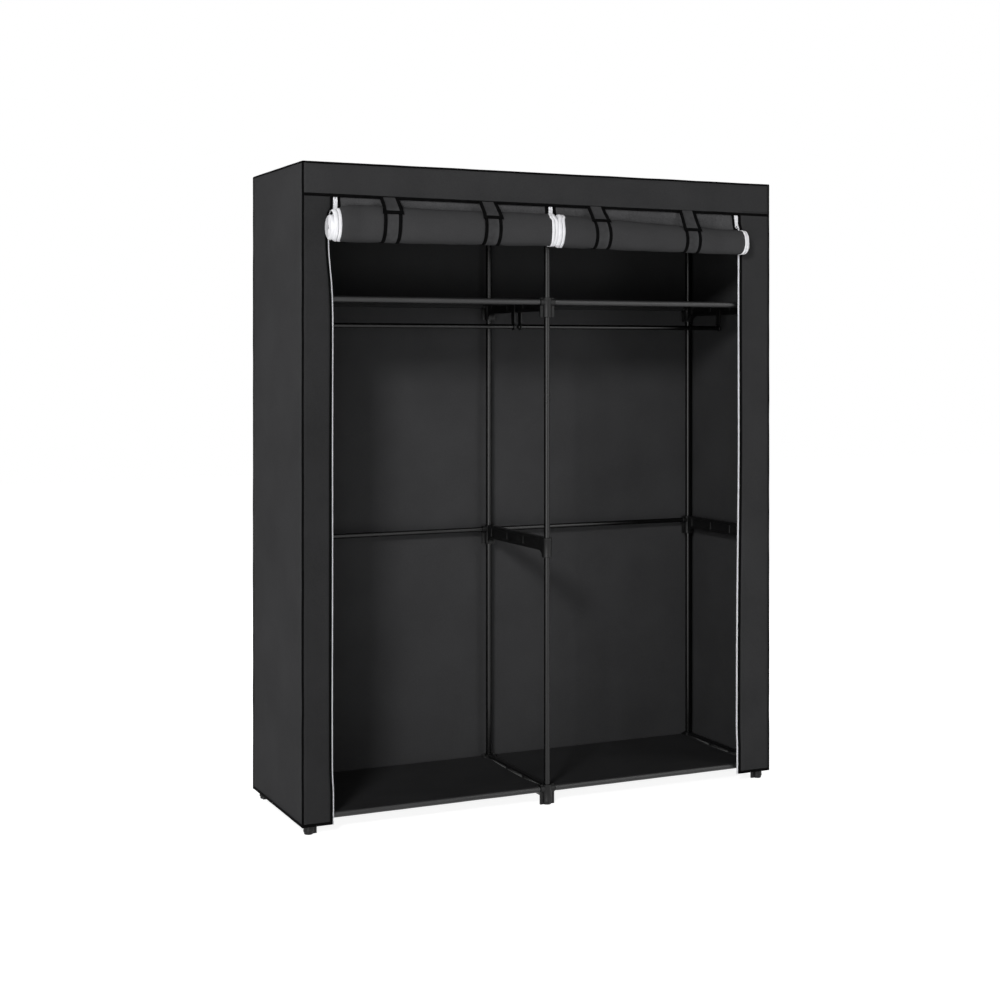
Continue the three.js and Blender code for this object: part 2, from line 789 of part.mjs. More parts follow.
// A strap: down in front of the roll, round below it and up behind the door, with a short
// tab from the valance pressed on the outside of its front leg.
function strap(side, x) {
  const oval = rollAt(side, x);
  const around = { ...oval, depth: oval.depth + strapGap, half: oval.half + strapGap };
  const front = new THREE.Vector2(strapTabSetback, valanceBottom - seatGap);
  const back = new THREE.Vector2(
    zipSetback + doorCloth / 2 + strapGap,
    valanceBottom - doorBendBelowValance,
  );
  const first = touchAngle(front, around, 1);
  const last = touchAngle(back, around, -1) + 2 * Math.PI;
  const path = [front];
  for (let i = 0; i <= strapSteps; i += 1) {
    path.push(ovalPoint(around, first + ((last - first) * i) / strapSteps, 0));
  }
  path.push(back, new THREE.Vector2(back.x, doorTop));
  path.reverse();
  const touch = ovalPoint(around, first, 0);
  const down = touch.clone().sub(front).normalize();
  const tabEnd = front.clone().add(down.multiplyScalar(strapTabLength));
  const half = strapWidth / 2;
  const legTop = block(
    [x - strapWidth, x + strapWidth],
    [-coverDepth, coverCloth + bindingProud],
    [valanceBottom - seatGap, wardrobeHeight],
  );
  return union([
    runAlongX(ribbon(path, strapThickness), x - half, x + half),
    runAlongX(ribbon([tabEnd, front], 2 * strapThickness), x - half, x + half),
  ]).subtract(legTop);
}

const straps = new THREE.Group();
straps.name = "straps";
wardrobe.add(straps);
for (const side of ["left", "right"]) {
  strapPlaces[side].forEach((x, i) => {
    const reach = side === "left" ? ["outer", "inner"][i] : ["inner", "outer"][i];
    place("strap_" + side + "_" + reach, strap(side, x), "strapTape", straps);
  });
}

// Zip sliders and their pulls, drawn round the middle of the slider's top edge
const sliderHalfDepth = toothRadius + sliderInside + sliderWall;

// The outline of a slider from the front: shoulders above, a waist below.
function sliderOutline() {
  const wide = sliderWidth / 2;
  const waist = sliderWaist / 2;
  const c = wedgeWidth;
  const outline = new THREE.Shape();
  outline.moveTo(-wide + c, 0);
  outline.lineTo(-wide, -c);
  outline.lineTo(-wide, -wedgeLength);
  outline.lineTo(-waist - c / 2, -sliderLength + c);
  outline.lineTo(-waist, -sliderLength);
  outline.lineTo(waist, -sliderLength);
  outline.lineTo(waist + c / 2, -sliderLength + c);
  outline.lineTo(wide, -wedgeLength);
  outline.lineTo(wide, -c);
  outline.lineTo(wide - c, 0);
  return outline;
}

// Two plates, side walls that leave slots for the tapes, the wedge between the rows and a
// loop for the pull.
function zipSlider() {
  const inside = toothRadius + sliderInside;
  const body = runAlongY(sliderOutline(), -sliderHalfDepth, sliderHalfDepth);
  const slot = tapeThickness / 2 + sliderInside;
  const channel = rowShift + inside;
  const down = [-sliderLength - overrun, overrun];
  const hollow = block([-channel, channel], [-inside, inside], down);
  const tapeSlot = block([-sliderWidth, sliderWidth], [-slot, slot], down);
  const wedge = block(
    [-wedgeWidth / 2, wedgeWidth / 2],
    [-inside - sliderWall / 2, inside + sliderWall / 2],
    [-wedgeLength, -wedgeWidth],
  );
  const loopTop = -loopBelowTop + loopLength / 2;
  const face = -sliderHalfDepth;
  const loopX = [-loopWidth / 2, loopWidth / 2];
  const loop = block(
    loopX,
    [face - loopHeight - loopWall, face + sliderWall / 2],
    [loopTop - loopLength, loopTop],
  ).subtract(
    block(
      [-sliderWidth, sliderWidth],
      [face - loopHeight, face],
      [loopTop - loopLength + loopWall, loopTop - loopWall],
    ),
  );
  return union([body.subtract(hollow).subtract(tapeSlot), wedge, loop]);
}

// A flat pull that hangs from the loop by a round bar, with a hole near its end. Drawn round
// the axis of the bar.
function zipPull() {
  const half = pullWidth / 2;
  const end = -pullLength + half;
  const window = pullWindowWidth / 2;
  const outline = new THREE.Shape();
  outline.moveTo(half, 0);
  outline.lineTo(window, 0);
  outline.lineTo(window, -pullWindowLength);
  outline.lineTo(-window, -pullWindowLength);
  outline.lineTo(-window, 0);
  outline.lineTo(-half, 0);
  const steps = tubeSides / 2;
  for (let i = 0; i <= steps; i += 1) {
    const angle = Math.PI + (Math.PI * i) / steps;
    outline.lineTo(half * Math.cos(angle), end + half * Math.sin(angle));
  }
  outline.holes.push(roundHole(0, end, pullHoleRadius));
  return union([
    runAlongY(outline, -pullThickness / 2, pullThickness / 2),
    bar("x", -half, half, pullBarRadius, [0, 0]),
  ]);
}

const sliderBody = zipSlider();
const pullBody = zipPull();
for (const [name, x] of Object.entries(sliderX)) {
  const zip = new THREE.Group();
  zip.name = "zip_" + name;
  zip.position.set(x, zipSetback, sliderTop);
  wardrobe.add(zip);
  place("zip_slider_" + name, sliderBody, "zipPlastic", zip);
  const pull = place("zip_pull_" + name, pullBody, "zipPlastic", zip);
  const barY = -sliderHalfDepth - pullPlay - pullThickness / 2;
  pull.position.set(0, barY, -loopBelowTop);
}

// How far the sliders can run down
export const sideZipTravel =
  sliderTop - sliderLength - (hemHeight + hemBinding + hemStop);
export const centreZipTravel =
  doorZipDrop - sliderBelowValance - sliderLength - centreZipTravelStop;

// The wardrobe stands on the floor with the middle of its outer box over the origin.
const bounds = new THREE.Box3().setFromObject(wardrobe);
const middle = bounds.getCenter(new THREE.Vector3());
wardrobe.position.set(-middle.x, -middle.y, -bounds.min.z);

export default wardrobe;
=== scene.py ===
"""Looks of the portable fabric wardrobe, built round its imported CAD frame. Metres."""
import math
from itertools import accumulate

import bmesh
import bpy
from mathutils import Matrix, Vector, noise


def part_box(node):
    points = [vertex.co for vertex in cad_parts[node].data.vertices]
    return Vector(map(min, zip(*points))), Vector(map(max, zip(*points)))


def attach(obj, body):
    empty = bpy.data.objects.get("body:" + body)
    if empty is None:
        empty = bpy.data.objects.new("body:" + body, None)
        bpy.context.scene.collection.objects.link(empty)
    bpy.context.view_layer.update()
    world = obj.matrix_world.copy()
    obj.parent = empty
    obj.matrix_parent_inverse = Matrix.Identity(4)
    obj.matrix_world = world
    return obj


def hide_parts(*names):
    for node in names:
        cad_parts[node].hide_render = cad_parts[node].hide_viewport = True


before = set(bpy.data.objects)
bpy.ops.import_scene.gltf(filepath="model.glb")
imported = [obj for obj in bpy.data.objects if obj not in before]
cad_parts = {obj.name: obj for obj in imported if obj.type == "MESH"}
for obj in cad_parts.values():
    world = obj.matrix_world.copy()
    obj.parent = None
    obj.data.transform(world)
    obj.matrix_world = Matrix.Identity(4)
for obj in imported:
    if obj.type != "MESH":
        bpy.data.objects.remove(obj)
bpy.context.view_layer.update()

# Sizes that the CAD source has too, in metres
PIPING_PROUD = 0.0012
CLOTH = 0.0016
HEM_BINDING = 0.008
VALANCE_BINDING = 0.008
VALANCE_DROP = 0.088
LEFT_FLAP = 0.080
RIGHT_FLAP = 0.102
FLAP_BINDING = 0.008
ZIP_SETBACK = 0.0045
TAPE_REACH = 0.007
DOOR_ZIP_DROP = 0.066
SLIDER_BELOW_VALANCE = 0.006
BEND_BELOW_VALANCE = 0.006
SLIDER_LENGTH = 0.022
SEAT_GAP = 0.0003
POST_RADIUS = 0.008
RAIL_RADIUS = 0.0065
RAIL_INSET = 0.0113
POST_INSET = 0.026
BARREL_RADIUS = 0.0135
BARREL_HEIGHT = 0.053
BEAM_WIDTH = 0.016
BEAM_HEIGHT = 0.036
BOSS_RADIUS = 0.010
BOSS_REACH = 0.021
BOSS_WEB = 0.006
RAIL_BELOW_TOP = 0.012
POCKET_RIM = 0.006
POCKET_COUNT = 3
POCKET_END_ROOM = 0.022
HANGER_FACE = BEAM_WIDTH / 2 + SEAT_GAP
HANGER_PLATE = 0.004
HANGER_STRIP = 0.020
HANGER_SADDLE = 0.003
HANGER_LIP = 0.012
EYE_RADIUS = 0.0105
SHELF_SAG = 0.009
ROLL_BEHIND = 0.003
ROLL_DEPTH_SHARE = 0.61
ROLL_CENTRE_GAP = 0.007
STRAP_PINCH = 0.0015

# Sizes of the looks alone, in metres
VALANCE_SAG = 0.005
OPEN_TAPE_REACH = 0.0042
ROW_SHIFT = 0.0027
DOOR_EDGE_GAP = 0.006
POCKET_DEPTH = 0.0014
DECK_TUCK = 0.0012
DECK_CURVE = 0.008
SHOWN_CLOTH = 0.0011
BINDING_THICKNESS = 0.003
STITCH_PITCH = 0.0042
STRAP_WIDTH = 0.050
STRAP_SHIFT = 0.0035
# By side and by where the strap stands: how long its tab is, and how far it stands aside at
# its start and where it crosses the roll's front
STRAP_TAB = {("left", "outer"): 0.061, ("left", "inner"): 0.062,
             ("right", "inner"): 0.053, ("right", "outer"): 0.066}
STRAP_LEAN = {("left", "outer"): (0.0, -0.0043), ("left", "inner"): (0.0, 0.0),
              ("right", "inner"): (-0.0060, 0.0030), ("right", "outer"): (0.0, 0.0050)}

# The two rolls: half height and drop below the valance, at the wardrobe's middle and at the
# zip's end, how far that end stands past the zip and how far the core slides out of it
ROLLS = {
    "left": {"half": (0.0440, 0.0460), "drop": (0.0660, 0.0695), "past": 0.0190, "core": 0.0080},
    "right": {"half": (0.044, 0.034), "drop": (0.068, 0.083), "past": 0.0120, "core": 0.0018},
}

# Places of the cloth's outer faces and of the frame
cover_low, cover_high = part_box("cover")
LEFT_X = cover_low.x + PIPING_PROUD
RIGHT_X = cover_high.x - PIPING_PROUD
FRONT_Y = cover_low.y + PIPING_PROUD
BACK_Y = cover_high.y - PIPING_PROUD
TOP_Z = cover_high.z - PIPING_PROUD
HEM_Z = cover_low.z
VALANCE_Z = cover_high.z - VALANCE_DROP
FLAP_X = {"left": cover_low.x + LEFT_FLAP, "right": cover_high.x - RIGHT_FLAP}
ZIP_X = {"left": FLAP_X["left"] + TAPE_REACH, "right": FLAP_X["right"] - TAPE_REACH}
SLIDER_X = {"left": ZIP_X["left"] + ROW_SHIFT, "right": ZIP_X["right"] - ROW_SHIFT}
ZIP_Y = FRONT_Y + ZIP_SETBACK
SLIDER_TOP = VALANCE_Z - SLIDER_BELOW_VALANCE
BEND_Z = VALANCE_Z - BEND_BELOW_VALANCE
POST_X = {"left": cover_low.x + POST_INSET, "middle": 0.0, "right": cover_high.x - POST_INSET}
POST_Y = {"front": cover_low.y + POST_INSET, "back": cover_high.y - POST_INSET}
INWARD = {"left": 1, "right": -1}
BOSS_SIDES = {"left": [1], "middle": [-1, 1], "right": [-1]}


# Node materials

CLOTH_GLOSS = 0.02
SLEEVE_GLOSS = 0.45
TUBE_GLOSS = 0.36
BRACKET_GLOSS = 0.28
ZIP_GLOSS = 0.42
FIBRE_SCALE = 520
GRAIN_SCALE = 700
FINE_BUMP = 0.0003
GRAIN_BUMP = 0.0002
TINT = (1.0, 1.0, 1.03)


def set_inputs(tree, node, inputs):
    """Each socket takes the output that feeds it, or a value of its own."""
    for socket, value in inputs.items():
        if isinstance(value, bpy.types.NodeSocket):
            tree.links.new(value, node.inputs[socket])
        else:
            node.inputs[socket].default_value = value


def add_node(tree, kind, inputs=None, **settings):
    made = tree.nodes.new("ShaderNode" + kind)
    for name, value in settings.items():
        setattr(made, name, value)
    set_inputs(tree, made, inputs or {})
    return made


def new_material(name):
    """A material, its node tree and the object's own coordinates, in metres."""
    made = bpy.data.materials.new(name)
    made.use_nodes = True
    tree = made.node_tree
    return made, tree, add_node(tree, "TexCoord").outputs["Object"]


def shade(level):
    """A grey given as it looks on screen, 0 to 255, as linear colour."""
    share = max(level, 1) / 255
    linear = share / 12.92 if share <= 0.04045 else ((share + 0.055) / 1.055) ** 2.4
    return tuple(linear * t for t in TINT)


def noise_node(tree, where, scale, detail=2.0, roughness=0.5):
    """Noise with the given number of features in a metre."""
    inputs = {"Scale": scale, "Detail": detail, "Roughness": roughness, "Vector": where}
    return add_node(tree, "TexNoise", inputs).outputs["Fac"]


def ramp_node(tree, source, *stops):
    """Greys along a ramp, each stop as its place and its level on screen."""
    ramp = add_node(tree, "ValToRGB", {"Fac": source})
    for point, (place, level) in zip(ramp.color_ramp.elements, stops):
        point.position = place
        point.color = (*shade(level), 1.0)
    return ramp.outputs["Color"]


def tone_node(tree, source, level, spread):
    return ramp_node(tree, source, (0.3, level - spread), (0.7, level + spread))


def blend_node(tree, share, first, second):
    inputs = {"Factor": share, "A": first, "B": second}
    return add_node(tree, "Mix", inputs, data_type="RGBA").outputs["Result"]


def bump_node(tree, height, strength, distance, under=None):
    inputs = {"Strength": strength, "Distance": distance, "Height": height}
    if under is not None:
        inputs["Normal"] = under
    return add_node(tree, "Bump", inputs).outputs["Normal"]


def range_node(tree, source, low, high, start=0.0, end=1.0):
    inputs = {"Value": source, "From Min": start, "From Max": end, "To Min": low, "To Max": high}
    return add_node(tree, "MapRange", inputs).outputs["Result"]


def math_node(tree, operation, first, second):
    return add_node(tree, "Math", {0: first, 1: second}, operation=operation).outputs[0]


def dress(tree, colour, normal, rough, gloss):
    set_inputs(tree, tree.nodes["Principled BSDF"],
               {"Base Color": colour, "Normal": normal, "Roughness": rough,
                "Specular IOR Level": gloss})


def cloth_material(name, level, spread=4, crumpled=0.16, crease=0.002, rough=(0.78, 0.95),
                   gloss=CLOTH_GLOSS):
    """Pressed fibre cloth: mottled tone, fine fibres and a grid of pressed points."""
    made, tree, where = new_material(name)
    fine = noise_node(tree, where, FIBRE_SCALE, 4.0, 0.65)
    tone = tone_node(tree, noise_node(tree, where, 5.5, 3.0, 0.55), level, spread)
    fleck = ramp_node(tree, fine, (0.35, level - 2 * spread), (0.65, level + 2 * spread))
    points = add_node(tree, "TexVoronoi", {"Scale": FIBRE_SCALE * 1.1, "Randomness": 0.25,
                                           "Vector": where})
    pressed = bump_node(tree, points.outputs["Distance"], 0.25, FINE_BUMP)
    fibres = bump_node(tree, fine, 0.3, FINE_BUMP, pressed)
    creased = bump_node(tree, noise_node(tree, where, 38, 3.0), crumpled, crease, fibres)
    dress(tree, blend_node(tree, 0.35, tone, fleck), creased, range_node(tree, fine, *rough), gloss)
    return made


def woven_material(name, level, spread=3, rib=300, roughness=0.8):
    """Woven tape: fine ribs across a slightly uneven tone."""
    made, tree, where = new_material(name)
    ribs = [add_node(tree, "TexWave", {"Scale": rib, "Distortion": 0.6, "Vector": where},
                     bands_direction=axis).outputs["Fac"] for axis in "XYZ"]
    height = math_node(tree, "MULTIPLY", math_node(tree, "MULTIPLY", ribs[0], ribs[1]), ribs[2])
    tone = tone_node(tree, noise_node(tree, where, 60), level, spread)
    dress(tree, tone, bump_node(tree, height, 0.35, FINE_BUMP), roughness, CLOTH_GLOSS)
    return made


def plastic_material(name, level, spread, roughness, gloss, speckle=0.0):
    """Moulded plastic: fine grain, a faintly cloudy tone, a few light specks."""
    made, tree, where = new_material(name)
    wide = noise_node(tree, where, 40, 3.0)
    fine = noise_node(tree, where, GRAIN_SCALE, 3.0, 0.6)
    specks = ramp_node(tree, fine, (0.55, level), (0.72, min(level * 3.2, 255)))
    dress(tree, blend_node(tree, speckle, tone_node(tree, wide, level, spread), specks),
          bump_node(tree, fine, 0.2, GRAIN_BUMP),
          range_node(tree, wide, roughness - 0.06, roughness + 0.08), gloss)
    return made


def tube_material(name, level):
    """Powder-coated steel tube: orange peel and faint streaks."""
    made, tree, where = new_material(name)
    streak = noise_node(tree, where, 14, 4.0, 0.6)
    dress(tree, tone_node(tree, streak, level, 4),
          bump_node(tree, noise_node(tree, where, 900), 0.12, GRAIN_BUMP),
          range_node(tree, streak, 0.22, 0.30), TUBE_GLOSS)
    return made


COVER = cloth_material("cover_cloth", 56)
# Painted light: a lighter copy of the cover cloth, for the cover's inner faces and the two sides' outer
# faces
COVER_PAINTED_LIGHT = cloth_material("cover_cloth_painted_light", 62)
# Painted shade: the flaps are the cover cloth painted darker for the light that falls on each, the left
# one much darker than the right
FLAP = {"left": cloth_material("flap_cloth_left_painted_shade", 48), "right": cloth_material("flap_cloth_right_painted_shade", 55)}
DOOR = cloth_material("door_cloth", 64)
# Painted light: the door cloth made lighter, with a stronger mottle for lit folds, on the face that
# shows above the rolls
DOOR_PAINTED_LIGHT = cloth_material("door_cloth_painted_light", 77, 12, crumpled=0.9, crease=0.007)
SHELF = cloth_material("shelf_cloth", 46)
SLEEVE = cloth_material("shelf_sleeve", 32, crumpled=0.10, rough=(0.30, 0.42), gloss=SLEEVE_GLOSS)
BINDING = woven_material("binding_tape", 10)
STRAP = woven_material("strap_tape", 66, 4)
WHITE_TAPE = woven_material("zip_tape", 248, 6, 240, 0.7)
# Painted shade: a grey copy of the white tape, for the grooves between its ridges where shade falls
TAPE_GROOVE_SHADE = woven_material("zip_tape_groove_shade", 186, 8, 240)
TUBE = tube_material("tube_coating", 10)
BRACKET = plastic_material("bracket_plastic", 10, 3, 0.45, BRACKET_GLOSS, speckle=0.15)
ZIP = plastic_material("zip_plastic", 246, 5, 0.35, ZIP_GLOSS)
THREAD = woven_material("thread", 26, 3, 900, 0.6)


# Mesh helpers

BOX_FACES = [(3, 2, 1, 0), (4, 5, 6, 7), (0, 1, 5, 4), (1, 2, 6, 5), (2, 3, 7, 6), (3, 0, 4, 7)]


def new_object(name, data):
    made = bpy.data.objects.new(name, data)
    bpy.context.scene.collection.objects.link(made)
    return made


def new_mesh(name, form, closed=True):
    """A mesh from vertices and faces; a closed one has its normals turned outwards."""
    vertices, faces = form
    mesh = bpy.data.meshes.new(name)
    mesh.from_pydata([tuple(v) for v in vertices], [], faces)
    if closed:
        work = bmesh.new()
        work.from_mesh(mesh)
        bmesh.ops.recalc_face_normals(work, faces=work.faces)
        work.to_mesh(mesh)
        work.free()
    return mesh


def make_piece(name, form, material, stands_for=(), closed=True, indices=None, sharp=35):
    """A mesh piece that rides on the wardrobe and stands for CAD nodes."""
    mesh = new_mesh(name, form, closed)
    for one in material if isinstance(material, list) else [material]:
        mesh.materials.append(one)
    if indices:
        mesh.polygons.foreach_set("material_index", indices)
    mesh.polygons.foreach_set("use_smooth", [True] * len(mesh.polygons))
    mesh.set_sharp_from_angle(angle=math.radians(sharp))
    piece = new_object(name, mesh)
    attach(piece, "wardrobe")
    if stands_for:
        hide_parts(*stands_for)
    return piece


def strip_grid(rows):
    """Vertices and faces from rows of points of equal length."""
    count = len(rows[0])
    starts = [j * count + i for j in range(len(rows) - 1) for i in range(count - 1)]
    return [p for row in rows for p in row], [(a, a + 1, a + count + 1, a + count) for a in starts]


def thicken(piece, thickness, offset=0.0, material_shift=0, rim_shift=None):
    """Solidify: offset -1 grows against the normals, 1 along them. The back face and the rim
    take materials further on in the list."""
    solid = piece.modifiers.new("thickness", "SOLIDIFY")
    solid.thickness = thickness
    solid.offset = offset
    solid.material_offset = material_shift
    solid.material_offset_rim = material_shift if rim_shift is None else rim_shift
    return solid


def merge(*forms):
    """One list of vertices and faces from several."""
    vertices, faces = [], []
    for some_vertices, some_faces in forms:
        start = len(vertices)
        vertices += [Vector(v) for v in some_vertices]
        faces += [tuple(start + i for i in face) for face in some_faces]
    return vertices, faces


def moved(form, by):
    return [Vector(v) + Vector(by) for v in form[0]], form[1]


def wrapped(rings, around, joined):
    """Faces round rings of points. The last ring is joined to the first, or both are closed."""
    faces = []
    for j in range(rings if joined else rings - 1):
        here, there = j * around, (j + 1) % rings * around
        for i in range(around):
            after = (i + 1) % around
            faces.append((here + i, here + after, there + after, there + i))
    if not joined:
        last = (rings - 1) * around
        faces += [tuple(reversed(range(around))), tuple(range(last, last + around))]
    return faces


def lathe(profile, origin, axis, segments=40, ring=False):
    """A turned form: profile is (radius, height) points along the axis from the origin.
    A ring's last point is joined to its first; otherwise both ends are closed flat."""
    axis = Vector(axis).normalized()
    side = axis.orthogonal().normalized()
    other = axis.cross(side)
    origin = Vector(origin)
    vertices = []
    for radius, height in profile:
        for i in range(segments):
            angle = 2 * math.pi * i / segments
            spoke = side * math.cos(angle) + other * math.sin(angle)
            vertices.append(origin + axis * height + spoke * radius)
    return vertices, wrapped(len(profile), segments, ring)


def sweep(path, section, closed=False, up=(0, 0, 1)):
    """A section, as (side, up) offsets, carried along a path."""
    count = len(path)
    vertices = []
    for j, point in enumerate(path):
        before = path[(j - 1) % count if closed else max(0, j - 1)]
        after = path[(j + 1) % count if closed else min(count - 1, j + 1)]
        along = (Vector(after) - Vector(before)).normalized()
        side = along.cross(Vector(up)).normalized()
        top = side.cross(along)
        vertices += [Vector(point) + side * s + top * t for s, t in section]
    return vertices, wrapped(count, len(section), closed)


def walk(path, pitch, first):
    """Points a pitch apart along a path, each with the path's direction there."""
    travelled, next_at = 0.0, first
    for a, b in zip(path, path[1:]):
        run = (b - a).length
        while next_at < travelled + run:
            yield a.lerp(b, (next_at - travelled) / run), (b - a).normalized()
            next_at += pitch
        travelled += run


def circle(radius, sides=12):
    angles = [2 * math.pi * i / sides for i in range(sides)]
    return [(radius * math.cos(a), radius * math.sin(a)) for a in angles]


def flat_section(thickness, width):
    """A flat tape seen end on, its corners rounded; thickness to the side, width upright."""
    radius = min(thickness, width) * 0.42
    steps = 3
    points = []
    for quarter, (sx, sy) in enumerate([(1, 1), (-1, 1), (-1, -1), (1, -1)]):
        for i in range(steps + 1):
            angle = math.pi / 2 * (quarter + i / steps)
            points.append((sx * (thickness / 2 - radius) + radius * math.cos(angle),
                           sy * (width / 2 - radius) + radius * math.sin(angle)))
    return points


def box_form(corner, opposite):
    (x0, x1), (y0, y1), (z0, z1) = map(sorted, zip(corner, opposite))
    return [(x, y, z) for z in (z0, z1) for x, y in ((x0, y0), (x1, y0), (x1, y1), (x0, y1))], BOX_FACES


def rounded_box(corner, opposite, radius):
    work = bmesh.new()
    vertices, faces = box_form(corner, opposite)
    made = [work.verts.new(v) for v in vertices]
    for face in faces:
        work.faces.new([made[i] for i in face])
    bmesh.ops.bevel(work, geom=work.edges[:], offset=radius, segments=2, affect="EDGES", profile=0.5)
    work.verts.index_update()
    form = [v.co.copy() for v in work.verts], [tuple(v.index for v in f.verts) for f in work.faces]
    work.free()
    return form


def middle_of(node):
    low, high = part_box(node)
    return (low + high) / 2


def lerp(a, b, share):
    return a + (b - a) * share


def smooth_step(x):
    x = min(1.0, max(0.0, x))
    return x * x * (3 - 2 * x)


def window(u, edge):
    """0 at both ends of 0..1 and 1 between them."""
    return smooth_step(u / edge) * smooth_step((1 - u) / edge)


def swell(x, y, z, size, seed=0.0):
    """A soft noise value in about -1..1 with features of the given size in metres."""
    return 2 * noise.noise(Vector((x / size + seed, y / size - seed, z / size + 2 * seed)))


# Tubes

def tube_form(start, end, radius):
    start, end = Vector(start), Vector(end)
    length = (end - start).length
    inner, edge = radius - 0.0012, 0.0005
    profile = [(inner, edge), (inner + edge / 2, 0), (radius - edge, 0), (radius, edge),
               (radius, length - edge), (radius - edge, length), (inner + edge / 2, length),
               (inner, length - edge)]
    return lathe(profile, start, end - start, 36, ring=True)


def long_axis(node):
    """The two ends of a tube's axis, from its box."""
    low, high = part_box(node)
    longest = max(range(3), key=lambda i: high[i] - low[i])
    start, end = middle_of(node), middle_of(node)
    start[longest], end[longest] = low[longest], high[longest]
    return start, end


def add_tubes():
    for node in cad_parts:
        if "_post_" in node:
            radius = POST_RADIUS
        elif "_rail_" in node or node.startswith("hanging_rod"):
            radius = RAIL_RADIUS
        else:
            continue
        start, end = long_axis(node)
        make_piece(node + "_tube", tube_form(start, end, radius), TUBE, [node])
        if node.startswith("hanging_rod"):
            add_rod_plugs(node, start, end)


def add_rod_plugs(node, start, end):
    """A domed plastic plug pressed into each end of a hanging rod."""
    inward = (end - start).normalized()
    plugs = []
    for place, out in ((start, -inward), (end, inward)):
        profile = [(0.0050, -0.006), (0.0052, -0.0004), (RAIL_RADIUS, -0.0002),
                   (RAIL_RADIUS, 0.0004), (0.0058, 0.0010), (0.0035, 0.0014), (0.0004, 0.0015)]
        plugs.append(lathe(profile, place, out, 28))
    make_piece(node + "_plugs", merge(*plugs), BRACKET)


# Moulded brackets

def beam_form():
    """A bracket's beam for x = 0 and its top at z = 0, with gussets, pockets and ribs."""
    front, back = POST_Y["front"], POST_Y["back"]
    curve = BARREL_HEIGHT - BEAM_HEIGHT
    toe = 0.002
    gusset = [(BARREL_RADIUS + toe + curve * (1 - math.cos(math.radians(angle))),
               curve * math.sin(math.radians(angle)) - BARREL_HEIGHT) for angle in range(0, 91, 9)]
    outline = [(front, -BARREL_HEIGHT)] + [(front + d, z) for d, z in gusset]
    outline += [(back - d, z) for d, z in reversed(gusset)]
    outline += [(back, -BARREL_HEIGHT), (back, 0), (front, 0)]
    half = BEAM_WIDTH / 2
    solid = [(x, y, z) for x in (-half, half) for y, z in outline], wrapped(2, len(outline), False)
    first = front + BARREL_RADIUS + POCKET_END_ROOM
    last = back - BARREL_RADIUS - POCKET_END_ROOM
    length = (last - first - (POCKET_COUNT - 1) * POCKET_RIM) / POCKET_COUNT
    outside = 0.005
    pockets = []
    for i in range(POCKET_COUNT):
        start = first + i * (length + POCKET_RIM)
        for side in (-1, 1):
            pockets.append(rounded_box(
                (side * (half - POCKET_DEPTH), start, POCKET_RIM - BEAM_HEIGHT),
                (side * (half + outside), start + length, -POCKET_RIM), 0.002))
    return carved(solid, merge(*pockets), 0.0007)


def carved(form, cutters, bevel):
    """A form less its cutters, with its edges rounded."""
    body, cutter = (new_object("carving", new_mesh("carving", one)) for one in (form, cutters))
    cut = body.modifiers.new("cut", "BOOLEAN")
    cut.object = cutter
    cut.solver = "EXACT"
    edges = body.modifiers.new("edges", "BEVEL")
    edges.width = bevel
    edges.segments = 2
    edges.limit_method = "ANGLE"
    edges.angle_limit = math.radians(32)
    bpy.context.view_layer.update()
    shaped = body.evaluated_get(bpy.context.evaluated_depsgraph_get())
    mesh = shaped.to_mesh()
    result = [v.co.copy() for v in mesh.vertices], [tuple(p.vertices) for p in mesh.polygons]
    shaped.to_mesh_clear()
    for made in (body, cutter):
        old = made.data
        bpy.data.objects.remove(made)
        bpy.data.meshes.remove(old)
    return result


def barrel_form(x, y, bottom, foot, open_above):
    """A barrel with a collar at each end, and sockets where posts plug in or a foot below."""
    h, r, body = BARREL_HEIGHT, BARREL_RADIUS, BARREL_RADIUS - 0.0005
    lip, socket, deep = 0.0008, POST_RADIUS + SEAT_GAP, 0.012
    if open_above:
        top = [(socket, h - deep), (socket, h - lip), (socket + lip, h)]
    else:
        top = [(0.0005, h)]
    top += [(r - lip, h), (r, h - lip), (r, h - 0.006), (body, h - 0.007)]
    if foot:
        low = [(body, 0.012), (r, 0.011), (r, 0.0068), (r - lip, 0.006), (r - 0.0022, 0.0055),
               (r - 0.0020, lip), (r - 0.0028, 0), (0.0005, 0)]
    else:
        low = [(body, 0.007), (r, 0.006), (r, lip), (r - lip, 0), (socket + lip, 0),
               (socket, lip), (socket, deep)]
    return lathe(top + low, (x, y, bottom), (0, 0, 1), ring=open_above and not foot)


def boss_form(x, y, z, side):
    """A rail's boss and the full-height web behind it."""
    lip, socket = 0.0007, RAIL_RADIUS + SEAT_GAP
    profile = [(BOSS_RADIUS, 0.006), (BOSS_RADIUS, BOSS_REACH - lip), (BOSS_RADIUS - lip, BOSS_REACH),
               (socket + lip, BOSS_REACH), (socket, BOSS_REACH - lip), (socket, 0.012)]
    boss = lathe(profile, (x, y, z), (side, 0, 0), 32)
    top = z + RAIL_BELOW_TOP
    web = rounded_box((x + side * POST_RADIUS, y - BOSS_WEB / 2, top - BARREL_HEIGHT),
                      (x + side * BOSS_REACH, y + BOSS_WEB / 2, top), 0.0008)
    return merge(boss, web)


